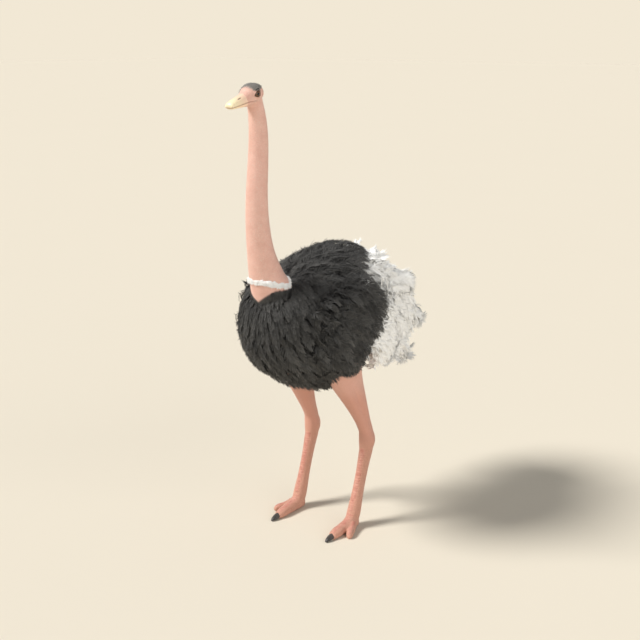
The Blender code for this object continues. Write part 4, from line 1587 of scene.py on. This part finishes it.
def black_plumes(settings):
    """Black plumes of the breast, back and folded wings: a coat for each piece, by name."""
    rng = np.random.default_rng(11)
    tree, roots = roots_over(("trunk", "wing_left", "wing_right"), settings.spacing, rng)
    behind = white_line(roots[:, 2]) - roots[:, 1]
    high = above_thigh(roots)
    grows = (off_neck(roots) > 1.02) & (behind > 0.045) & (high > 0.035)
    roots, behind, high = roots[grows], behind[grows], high[grows]
    on_wing = grown_on(roots, "wing_left", "wing_right")
    count = len(roots)
    top = ramp(roots[:, 2], 1.30, 1.50)
    front = ramp(-roots[:, 1], 0.15, 0.45)
    belly = ramp(-roots[:, 2], -1.06, -0.90)
    near_neck = hump(np.maximum(off_neck(roots) - 1, 0), 0, 0.45)
    length = settings.plume_length * (1 + 0.25 * top - 0.22 * front + 0.12 * on_wing)
    length *= (1 - 0.45 * near_neck) * rng.uniform(0.85, 1.2, count)
    length = np.minimum(length, np.minimum(1.1 * behind + 0.035, 1.2 * high + 0.02))
    breast = front * ramp(roots[:, 2], 1.20, 1.36)
    shoulder = on_wing * ramp(-roots[:, 1], 0.22, 0.34) * ramp(roots[:, 2], 1.30, 1.39)
    length *= 1 - 0.25 * shoulder
    lift = rng.uniform(-0.010, 0.010, count) - 0.008 * on_wing - 0.026 * breast
    lift -= 0.024 * shoulder + 0.010 * top
    droop = 0.15 + 0.5 * belly + 0.25 * front + 0.10 * on_wing
    shafts, outs = laid(tree, roots, body_flow, length, 9, 0.046, lift, droop)
    width = settings.plume_width * (1 - 0.35 * near_neck) * rng.uniform(0.85, 1.15, count)
    width *= 1 - 0.20 * shoulder
    width *= np.clip(length / settings.plume_length, 0.6, 1.1)
    coats = {}
    for name, own in (
        ("breast_plumes", ~on_wing & (roots[:, 1] < -0.20)),
        ("back_plumes", ~on_wing & (roots[:, 1] >= -0.20)),
        ("wing_plumes_left", on_wing & (roots[:, 0] > 0)),
        ("wing_plumes_right", on_wing & (roots[:, 0] < 0)),
    ):
        coats[name] = Coat(BODY_MIDDLE)
        # painted light: plumes higher on the back are lighter; painted shade: plumes under the belly
        # are darker
        look = -0.04, 0.20, 1.0, (0.5 + 0.23 * top - 0.5 * belly)[own]
        sizes = settings.pairs, settings.lock_width
        coats[name].plumes(shafts[own], outs[own], width[own], *sizes, rng, look)
    return coats


def collar_plumes(settings):
    """Short feathers that climb the base of the neck to the edge of the bare skin."""
    rng = np.random.default_rng(12)
    tree = outline("neck_lower", "trunk")
    roots = []
    for up in np.arange(1.22, 1.49, 0.014):
        forward, radius = neck_at(up)
        turns = np.arange(0, TAU, 0.15) + rng.uniform(0, 0.15)
        for turn in turns + rng.normal(0, 0.03, len(turns)):
            spot = place(0, forward, up) + round_neck(turn) * radius * 1.3
            roots.append(spot + UP * rng.normal(0, 0.004))
    roots, _ = nearest(tree, np.array(roots))
    spot, out = nearest(outline("trunk"), roots)
    inside = ((roots - spot) * out).sum(1) < -0.004
    # the plumes root a little above the edge of the bare skin, and show from the edge on
    roots = roots[~inside & (feathered(roots - 0.017 * UP) > 0.35)]
    count = len(roots)
    length = rng.uniform(0.050, 0.075, count)
    lift = rng.uniform(0.000, 0.008, count)
    shafts, outs = laid(tree, roots, down_neck, length, 7, 0.007, lift, np.full(count, 0.1))
    coat = Coat(BODY_MIDDLE)
    width, lock, look = np.full(count, 0.020), settings.lock_width * 0.75, (0.10, 0.20, 1.0, 0.5)
    coat.plumes(shafts, outs, width, 10, lock, rng, look)
    return coat


def white_flow(spot):
    """White plumes hang along the flanks, then spread with the tail."""
    tail = ramp(spot[:, 1], 0.20, 0.36)[:, None]
    return unit(unit(BACK - UP * 0.75) * (1 - tail) + tail_flow(spot) * tail)


def white_plumes(settings):
    """White plumes of the wings' ends, rump and tail: a coat for each piece, by name."""
    rng = np.random.default_rng(19)
    nodes = ("trunk", "wing_left", "wing_right", "tail", "tail_fill")
    tree, roots = roots_over(nodes, settings.tail_spacing, rng)
    behind = roots[:, 1] - white_line(roots[:, 2])
    high = above_thigh(roots)
    grows = (behind > 0.012) & (high > 0.045)
    roots, high = roots[grows], high[grows]
    on_tail = grown_on(roots, "tail", "tail_fill")
    count = len(roots)
    to_end = np.linalg.norm(roots - TAIL_END, axis=1)
    length = settings.tail_length * rng.uniform(0.75, 1.15, count)
    length = np.minimum(length, np.minimum(np.maximum(0.75 * to_end, 0.09), 1.1 * high))
    lift = rng.uniform(-0.020, 0.004, count) - 0.022 * on_tail
    droop = np.where(on_tail, 0.40, 0.25)
    shafts, outs = laid(tree, roots, white_flow, length, 10, 0.055, lift, droop)
    shafts = held_in(shafts, ("trunk", "wing_left", "wing_right", "tail_outline"))
    width = settings.tail_width * rng.uniform(0.85, 1.15, count)
    # a plume that reaches far over the black ones is left out
    stays = (white_line(shafts[..., 2]) - shafts[..., 1]).max(1) < 0.02
    on_tail &= stays
    coats = {}
    for name, own in (
        ("wing_quills_left", stays & ~on_tail & (roots[:, 0] > 0)),
        ("wing_quills_right", stays & ~on_tail & (roots[:, 0] <= 0)),
        ("tail_plumes", on_tail & (roots[:, 2] > TAIL_MIDDLE[2])),
        ("tail_plumes_low", on_tail & (roots[:, 2] <= TAIL_MIDDLE[2])),
    ):
        coats[name] = Coat(TAIL_MIDDLE if "tail" in name else BODY_MIDDLE)
        look = 0.0, 0.15, 0.6, 0.5
        sizes = settings.pairs - 1, settings.lock_width * 1.55
        coats[name].plumes(shafts[own], outs[own], width[own], *sizes, rng, look)
    # plumes inside the fan, from the rump straight towards the outline
    picks = rng.choice(np.nonzero(on_tail)[0], settings.inner_plumes)
    reach = (roots[picks] - TAIL_ROOT) * rng.uniform(0.60, 0.90, len(picks))[:, None]
    share = np.linspace(0, 1, 9)[None, :, None]
    inner = TAIL_ROOT + rng.normal(0, 0.03, (len(picks), 1, 3)) + reach[:, None] * share
    outs = unit(np.cross(np.gradient(inner, axis=1), ACROSS))
    look = 0.05, 0.15, 0.8, 0.5
    width = rng.uniform(0.055, 0.070, len(picks))
    sizes = settings.pairs - 9, settings.lock_width * 2.2
    coats["tail_plumes"].plumes(inner, outs, width, *sizes, rng, look)
    return coats


def neck_ring():
    """A band of white down round the base of the bare neck."""
    rng = np.random.default_rng(23)
    roots = []
    for row in range(4):
        for turn in np.arange(0, TAU, TAU / 90) + 0.035 * (row % 2):
            turn = turn + rng.normal(0, 0.015)
            up = RING_UP - 0.0055 * row + 0.012 * math.cos(turn) + rng.normal(0, 0.0015)
            forward, _ = neck_at(up)
            roots.append(place(0, forward, up) + round_neck(turn) * 0.14)
    roots, out = nearest(outline("neck_lower"), np.array(roots))
    lie = lying(down_neck(roots), out)
    across = np.cross(lie, out)
    count = len(roots)
    coat = Coat(BODY_MIDDLE)
    for _ in range(9):
        lean = rng.normal(0, 0.45, count)[:, None]
        first = unit(out * rng.uniform(0.5, 1.1, count)[:, None] + lie * 0.6 + across * lean)
        last = unit(lie + out * rng.normal(0.15, 0.25, count)[:, None] + across * lean * 1.2)
        bases = roots - out * 0.002 + across * rng.normal(0, 0.0025, (count, 1))
        lengths, tones = rng.uniform(0.014, 0.022, count), rng.normal(0.5, 0.15, count)
        coat.locks(bases, first, last, out, lengths, 0.0020, tones, 0.45)
    return coat


def short_down(mesh, area, lie, middle, seed, count, length, width, rise):
    """Fine bristles over the parts of the skin that area picks out."""
    rng = np.random.default_rng(seed)
    points, normals = coordinates(mesh), point_normals(mesh)
    # points lie denser on the head, so each counts for the skin round it
    weight = area(points) * np.where(points[:, 2] > 2.28, 0.25, 1.0)
    picks = rng.choice(len(points), count, p=weight / weight.sum())
    out = normals[picks]
    base = points[picks] + rng.normal(0, 0.0016, out.shape) - out * 0.0006
    way = lying(lie(base), out)
    way = unit(way + np.cross(way, out) * rng.normal(0, 0.35, (count, 1)))
    lengths = length * rng.uniform(0.7, 1.3, count)
    widths = width * rng.uniform(0.8, 1.2, count)
    first, last = unit(way + out * rise), unit(way + out * rise * 0.3)
    coat = Coat(middle)
    coat.locks(base, first, last, out, lengths, widths, rng.normal(0.5, 0.2, count), 0.4)
    return coat


def crown_area(points):
    """1 on the top and back of the head, where bristles grow."""
    ahead, side, up = in_head(points).T
    high = ramp(up + 0.12 * np.abs(side), 0.030, 0.040)
    back = ramp(-ahead, -0.026, -0.010) * ramp(ahead, -0.075, -0.055)
    return high * back * (points[:, 2] > CROWN_UP)


def down_area(points):
    """Thin down over the neck, and over the cheeks, lores and chin."""
    ahead, _, up = in_head(points).T
    head = (ahead > -0.09) & (points[:, 2] > FACE_UP)
    off_eyes = np.hypot(ahead - EYE_CENTRE[0], up - EYE_CENTRE[2]) >= 0.024
    clear = np.where(head, (ahead < 0.052) & off_eyes, True)
    return clear * (points[:, 2] > DOWN_UP) * (1 - crown_area(points)) * np.where(head, 0.9, 1.0)


# ---------- settings
def colour(name, description, default):
    return FloatVectorProperty(
        name=name, description=description, default=default, subtype="COLOR", min=0, max=1
    )


def number(name, description, default, **more):
    return FloatProperty(name=name, description=description, default=default, **more)


def size(name, description, default):
    return number(name, description, default, subtype="DISTANCE", unit="LENGTH")


def angle(name, description, degrees):
    default = math.radians(degrees)
    return number(name, description, default, subtype="ANGLE", unit="ROTATION")


class OstrichColours(bpy.types.PropertyGroup):
    """Colours of the skin, the horn, the eyes and the plumage."""

    skin: colour("Skin", "Bare skin of the neck and head", (0.90, 0.580, 0.480))
    skin_dark: colour("Skin patches", "Darker patches of bare skin", (0.81, 0.480, 0.385))
    skin_flush: colour("Skin flush", "Blood under the skin", (0.80, 0.420, 0.340))
    # colour of the skin's fine lines, and painted shade in the mouth's groove and the ear's pit
    skin_lines_and_painted_shade: colour("Skin creases", "Lines and folds of the skin", (0.40, 0.175, 0.130))
    leg: colour("Leg", "Skin of the thighs", (0.67, 0.330, 0.245))
    foot: colour("Foot", "Skin of the shanks and feet", (0.66, 0.345, 0.245))
    crown: colour("Crown", "Skin on top of the head", (0.33, 0.285, 0.255))
    lid_rim: colour("Lid rim", "Edges of the eyelids", (0.24, 0.130, 0.100))
    black: colour("Black plumage", "Middle of a black plume", (0.051, 0.050, 0.048))
    black_root: colour("Black root", "Root of a black plume", (0.022, 0.021, 0.020))
    black_tip: colour("Black tip", "Tip of a black plume", (0.086, 0.084, 0.081))
    white: colour("White plumage", "Middle of a white plume", (0.970, 0.965, 0.945))
    white_root: colour("White root", "Root of a white plume", (0.950, 0.940, 0.910))
    white_tip: colour("White tip", "Tip of a white plume", (0.975, 0.970, 0.955))
    crown_root: colour("Crown bristle root", "Root of a crown bristle", (0.18, 0.168, 0.155))
    crown_tip: colour("Crown bristle tip", "Tip of a crown bristle", (0.295, 0.280, 0.262))
    down_root: colour("Down root", "Root of the thin neck down", (0.62, 0.480, 0.400))
    down_tip: colour("Down tip", "Tip of the thin neck down", (0.85, 0.760, 0.680))
    bill_base: colour("Bill base", "Horn near the face", (0.95, 0.660, 0.500))
    bill_tip: colour("Bill tip", "Horn near the tip", (0.98, 0.855, 0.560))
    bill_stain: colour("Bill stain", "Worn patches of the bill", (0.93, 0.700, 0.470))
    # painted shade along the closing line of the bill
    gape: colour("Gape", "Line where the bill closes", (0.32, 0.130, 0.090))
    # painted shade inside the nostrils
    nostril_shade: colour("Nostril", "Inside of the nostril slits", (0.10, 0.045, 0.035))
    scute: colour("Scute", "Plates of the shank and toes", (0.58, 0.235, 0.175))
    scute_pale: colour("Pale scute", "Paler plates", (0.70, 0.360, 0.275))
    scute_edge: colour("Scute edge", "Cracks of the plates", (0.30, 0.120, 0.090))
    claw: colour("Claw", "Root of a claw", (0.105, 0.092, 0.082))
    claw_tip: colour("Claw tip", "Tip and rings of a claw", (0.035, 0.030, 0.028))
    iris: colour("Iris", "Light streaks of the iris", (0.24, 0.115, 0.050))
    iris_dark: colour("Dark iris", "Dark streaks of the iris", (0.095, 0.042, 0.020))
    pupil: colour("Pupil", "Pupil, and the ring round the iris", (0.004, 0.003, 0.003))
    eye_white: colour("Eye white", "Eyeball beside the iris", (0.14, 0.085, 0.060))
    lash: colour("Lash", "Lashes and brow", (0.012, 0.010, 0.009))


class OstrichSizes(bpy.types.PropertyGroup):
    """Sizes of the plumage and the grain of the skin."""

    skin_grain: size("Skin grain", "Size of the faces of the bare skin", 0.0048)
    spacing: size("Plume spacing", "Least distance between roots of black plumes", 0.030)
    plume_length: size("Plume length", "Length of a plume of the body", 0.155)
    plume_width: size("Plume width", "Half the width of a plume of the body", 0.046)
    tail_spacing: size("White spacing", "Least distance between white plumes", 0.031)
    tail_length: size("White length", "Length of a white plume", 0.210)
    tail_width: size("White width", "Half the width of a white plume", 0.050)
    lock_width: size("Lock width", "Half the width of a lock of a plume", 0.0021)
    pairs: IntProperty(
        name="Locks per side", description="Locks on each side of a plume", default=23, min=6
    )
    inner_plumes: IntProperty(
        name="Inner plumes", description="White plumes that fill the tail", default=60, min=1
    )


class OstrichStage(bpy.types.PropertyGroup):
    """The floor, the light and the camera."""

    backdrop: colour("Backdrop", "Floor and background", (0.887, 0.807, 0.665))
    key: number("Key", "Strength of the main light", 3.60)
    fill: number("Fill", "Strength of the light all round", 0.285)
    card: number("Card", "Strength of the low light off a white card", 1.72)
    softness: angle("Softness", "Angle that the main light fills", 17)
    lens: number("Lens", "Focal length", 55.0, unit="CAMERA")
    distance: size("Camera distance", "Camera ahead of the bird", 4.97)
    height: size("Camera height", "Camera above the floor", 2.61)
    pitch: angle("Pitch", "How far the camera looks down", 16.2)


# ---------- operators
FLOOR_REACH = 90.0
CARD_ON_FLOOR = 0.227  # the share of the low card's light that the floor gets


class OSTRICH_OT_materials(bpy.types.Operator):
    """Build the shared node groups and every finish"""

    bl_idname = "ostrich.materials"
    bl_label = "Finishes"

    def execute(self, context):
        for build in (mottle_group, pores_group, tone_group, lines_group):
            build()
        hue = context.scene.ostrich_colours
        for build in (skin_material, bill_material, claw_material, scute_material, eye_material):
            build(hue)
        black, white = (hue.black_root, hue.black, hue.black_tip), (hue.white_root, hue.white)
        plume_material("black_plume", *black, 0.60, 0.10, 0.62)
        plume_material("white_plume", *white, hue.white_tip, 0.03, 0.80, 0.80)
        crown, down = (hue.crown_root, hue.crown_tip), (hue.down_root, hue.down_tip)
        plume_material("crown_bristle", *crown, hue.crown_tip, 0.25, 0.10, 0.70)
        plume_material("neck_down", *down, hue.down_tip, 0.10, 0.10, 0.70)
        bristle_material("lash", hue.lash, tuple(3 * v for v in hue.lash))
        return {"FINISHED"}


class OSTRICH_OT_skin(bpy.types.Operator):
    """Draw one skin over the flesh, with its folds, lids and marks"""

    bl_idname = "ostrich.skin"
    bl_label = "Skin"

    def execute(self, context):
        made, mesh, points, lines, rims = make_skin_mesh(context.scene.ostrich_sizes.skin_grain)
        ahead, _, up = in_head(points).T
        height = points[:, 2]
        crown = ramp(up, 0.026, 0.040) * ramp(-ahead, -0.034, -0.012) * (height > CROWN_UP)
        leg = 0.50 * ramp(-height, -1.15, -0.95) + 0.45 * ramp(-height, -0.86, -0.74)
        for name, mask in (
            ("feathered", feathered(points)),
            ("white", ramp(points[:, 1] - white_line(height), -0.03, 0.00)),
            ("crown", crown),
            ("leg", leg),
            ("foot", ramp(-height, -0.56, -0.40)),
            # the crease mask marks the mouth's groove and the ear's pit, for painted shade
            ("crease", np.clip(lines, 0, 1)),
            ("lid_rim", rims),
        ):
            set_mask(mesh, name, mask)
        nodes = ["head", "neck_lower", "neck_middle", "neck_upper"]
        for _, label in HANDS:
            nodes += [f"{part}_{label}" for part in ("thigh", "shank", "toe_inner", "toe_outer")]
        settle(made, "bare_skin", "skin", *nodes)
        return {"FINISHED"}


class OSTRICH_OT_eyes(bpy.types.Operator):
    """Set both eyeballs in the lids, with lashes and brows"""

    bl_idname = "ostrich.eyes"
    bl_label = "Eyes and lashes"

    def execute(self, context):
        for hand, label in HANDS:
            make_eyeball(hand, label)
            make_lashes(hand, label)
        return {"FINISHED"}


class OSTRICH_OT_bill(bpy.types.Operator):
    """Shape both halves of the bill"""

    bl_idname = "ostrich.bill"
    bl_label = "Bill"

    def execute(self, context):
        make_bill()
        return {"FINISHED"}


class OSTRICH_OT_feet(bpy.types.Operator):
    """Lay the plates on the shanks and toes, and shape the claws"""

    bl_idname = "ostrich.feet"
    bl_label = "Scutes and claws"

    def execute(self, context):
        skin = bpy.data.objects["skin"].data
        tree = tree_of(coordinates(skin), faces_of(skin))
        for hand, label in HANDS:
            make_claw(hand, label)
            make_scutes(hand, label, tree)
        return {"FINISHED"}


class OSTRICH_OT_black_plumage(bpy.types.Operator):
    """Lay black plumes over the body and wings, and short ones round the neck's base"""

    bl_idname = "ostrich.black_plumage"
    bl_label = "Black plumage"

    def execute(self, context):
        sizes = context.scene.ostrich_sizes
        coats = black_plumes(sizes)
        coats["collar_plumes"] = collar_plumes(sizes)
        for name, slot, *nodes in (
            ("breast_plumes", "body_plumage"),
            ("back_plumes", "body_plumage", "trunk"),
            ("wing_plumes_left", "wing_plumage", "wing_left"),
            ("wing_plumes_right", "wing_plumage", "wing_right"),
            ("collar_plumes", "body_plumage"),
        ):
            coats[name].piece(name, "black_plume", slot, *nodes)
        return {"FINISHED"}


class OSTRICH_OT_white_plumage(bpy.types.Operator):
    """Hang the white plumes of the wings' ends and the tail"""

    bl_idname = "ostrich.white_plumage"
    bl_label = "White plumage"

    def execute(self, context):
        coats = white_plumes(context.scene.ostrich_sizes)
        for name, slot, *nodes in (
            ("wing_quills_left", "wing_plumage"),
            ("wing_quills_right", "wing_plumage"),
            ("tail_plumes", "white_plumes", "tail"),
            ("tail_plumes_low", "white_plumes"),
        ):
            coats[name].piece(name, "white_plume", slot, *nodes)
        return {"FINISHED"}


class OSTRICH_OT_down(bpy.types.Operator):
    """Put the white ring round the neck, bristles on the crown and down on the neck"""

    bl_idname = "ostrich.down"
    bl_label = "Neck ring, crown and down"

    def execute(self, context):
        neck_ring().piece("neck_ring", "white_plume", "white_plumes")

        def backward(base):
            return unit(np.broadcast_to(BACK, base.shape) - UP * 0.15)

        def downward(base):
            head = (base[:, 2:3] > FACE_UP).astype(float)
            return unit(BACK * (0.15 + 0.8 * head) - UP)

        skin = bpy.data.objects["skin"].data
        middle = head_point(-0.01, 0, 0.005)
        sizes = {"seed": 41, "count": 4200, "length": 0.0100, "width": 0.00048, "rise": 0.36}
        crown = short_down(skin, crown_area, backward, middle, **sizes)
        crown.piece("crown_bristles", "crown_bristle", "body_plumage")
        middle = place(0, 0.47, 1.9)
        sizes = {"seed": 43, "count": 10500, "length": 0.0062, "width": 0.00026, "rise": 0.30}
        down = short_down(skin, down_area, downward, middle, **sizes)
        down.piece("neck_down", "neck_down", "body_plumage")
        return {"FINISHED"}


class OSTRICH_OT_stage(bpy.types.Operator):
    """Set the pale floor, the soft light and the camera"""

    bl_idname = "ostrich.stage"
    bl_label = "Floor, light and camera"

    def execute(self, context):
        stage, scene = context.scene.ostrich_stage, context.scene
        for old in ("Cube", "Light", "Camera"):
            if old in bpy.data.objects:
                bpy.data.objects.remove(bpy.data.objects[old], do_unlink=True)
        scene.view_settings.view_transform = "Standard"
        # the way to the main light, and to the white card that brightens the other side
        toward = unit(np.array([-0.67, -0.74, 0.985]))
        across = unit(np.array([1.0, -0.18, 0.14]))
        key_tint, card_tint = np.array([1.0, 0.985, 0.955]), np.array([1.0, 0.985, 0.96])
        fill_tint = np.array([0.96, 0.98, 1.0])
        for name, way, power, angle, shade in (
            ("key_light", toward, stage.key, stage.softness, key_tint),
            ("card_light", across, stage.card, math.radians(75), card_tint),
        ):
            sun = bpy.data.lights.new(name, "SUN")
            sun.energy, sun.angle, sun.color = power, angle, shade
            lamp = bpy.data.objects.new(name, sun)
            lamp.rotation_euler = as_euler(-way)
            scene.collection.objects.link(lamp)

        # under the lights and the fill, the floor is as bright as the background
        light = stage.key * toward[2] * key_tint + stage.card * CARD_ON_FLOOR * card_tint
        light /= math.pi
        light += stage.fill * fill_tint * 0.985
        tree = new_material("floor", Roughness=1.0, Specular_IOR_Level=0.0)
        tint = tuple(np.array(stage.backdrop[:]) / light)
        cloud = mottled(tree, 0.6, 0.2)
        finish(tree, mixed(tree, cloud, *(rgba(v * k for v in tint) for k in (0.995, 1.005))))
        corners = np.array([(-1, -1, 0), (1, -1, 0), (1, 1, 0), (-1, 1, 0)]) * FLOOR_REACH
        mesh = plain_mesh("floor", corners, [(0, 1, 2, 3)])
        mesh.materials.append(bpy.data.materials["floor"])
        new_object("floor", mesh)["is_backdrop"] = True

        world = bpy.data.worlds.new("studio")
        world.use_nodes = True
        tree = world.node_tree
        shown = tree.nodes["Background"]
        shown.inputs["Color"].default_value = rgba(stage.backdrop)
        fill = {"Color": rgba(fill_tint), "Strength": stage.fill}
        fill = add_node(tree, "ShaderNodeBackground", **fill).outputs[0]
        seen = add_node(tree, "ShaderNodeLightPath").outputs["Is Camera Ray"]
        mix = add_node(tree, "ShaderNodeMixShader", n0=seen, n1=fill, n2=shown.outputs[0])
        tree.links.new(mix.outputs[0], tree.nodes["World Output"].inputs["Surface"])
        scene.world = world

        camera = bpy.data.cameras.new("camera")
        camera.lens, camera.sensor_width = stage.lens, 36
        seat = bpy.data.objects.new("camera", camera)
        # the camera stands ahead of the bird and to its left
        away = np.array([0.6225, -0.7826, 0.0])
        seat.location = place(0, 0, 0) + away * stage.distance + UP * stage.height
        look = -away * math.cos(stage.pitch) - UP * math.sin(stage.pitch)
        seat.rotation_euler = as_euler(look)
        scene.collection.objects.link(seat)
        scene.camera = seat
        return {"FINISHED"}


def as_euler(look):
    """The rotation that turns a camera or a light to look this way."""
    return Vector(look.tolist()).to_track_quat("-Z", "Y").to_euler()


class OSTRICH_PT_panel(bpy.types.Panel):
    """The pieces of the bird, in the order that they are built."""

    bl_label = "Standing Ostrich"
    bl_idname = "OSTRICH_PT_panel"
    bl_space_type = "VIEW_3D"
    bl_region_type = "UI"
    bl_category = "Ostrich"

    def draw(self, context):
        layout = self.layout
        for operator in OPERATORS:
            layout.operator(operator.bl_idname)
        for group in ("ostrich_sizes", "ostrich_colours", "ostrich_stage"):
            settings = getattr(context.scene, group)
            box = layout.box()
            for name in settings.bl_rna.properties.keys():
                if name not in ("rna_type", "name"):
                    box.prop(settings, name)


OPERATORS = (
    OSTRICH_OT_materials,
    OSTRICH_OT_skin,
    OSTRICH_OT_eyes,
    OSTRICH_OT_bill,
    OSTRICH_OT_feet,
    OSTRICH_OT_black_plumage,
    OSTRICH_OT_white_plumage,
    OSTRICH_OT_down,
    OSTRICH_OT_stage,
)
CLASSES = (OstrichColours, OstrichSizes, OstrichStage, *OPERATORS, OSTRICH_PT_panel)


def register():
    for made in CLASSES:
        bpy.utils.register_class(made)
    bpy.types.Scene.ostrich_colours = PointerProperty(type=OstrichColours)
    bpy.types.Scene.ostrich_sizes = PointerProperty(type=OstrichSizes)
    bpy.types.Scene.ostrich_stage = PointerProperty(type=OstrichStage)


def unregister():
    del bpy.types.Scene.ostrich_stage
    del bpy.types.Scene.ostrich_sizes
    del bpy.types.Scene.ostrich_colours
    for made in reversed(CLASSES):
        bpy.utils.unregister_class(made)


def main():
    register()
    for operator in OPERATORS:
        group, name = operator.bl_idname.split(".")
        result = getattr(getattr(bpy.ops, group), name)()
        if result != {"FINISHED"}:
            raise RuntimeError(f"{operator.bl_idname} did not finish")
    boxes = {"cad": CAD_BOX, "visual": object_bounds()}
    boxes = {key: [[float(v) for v in corner] for corner in box] for key, box in boxes.items()}


if __name__ == "__main__":
    main()
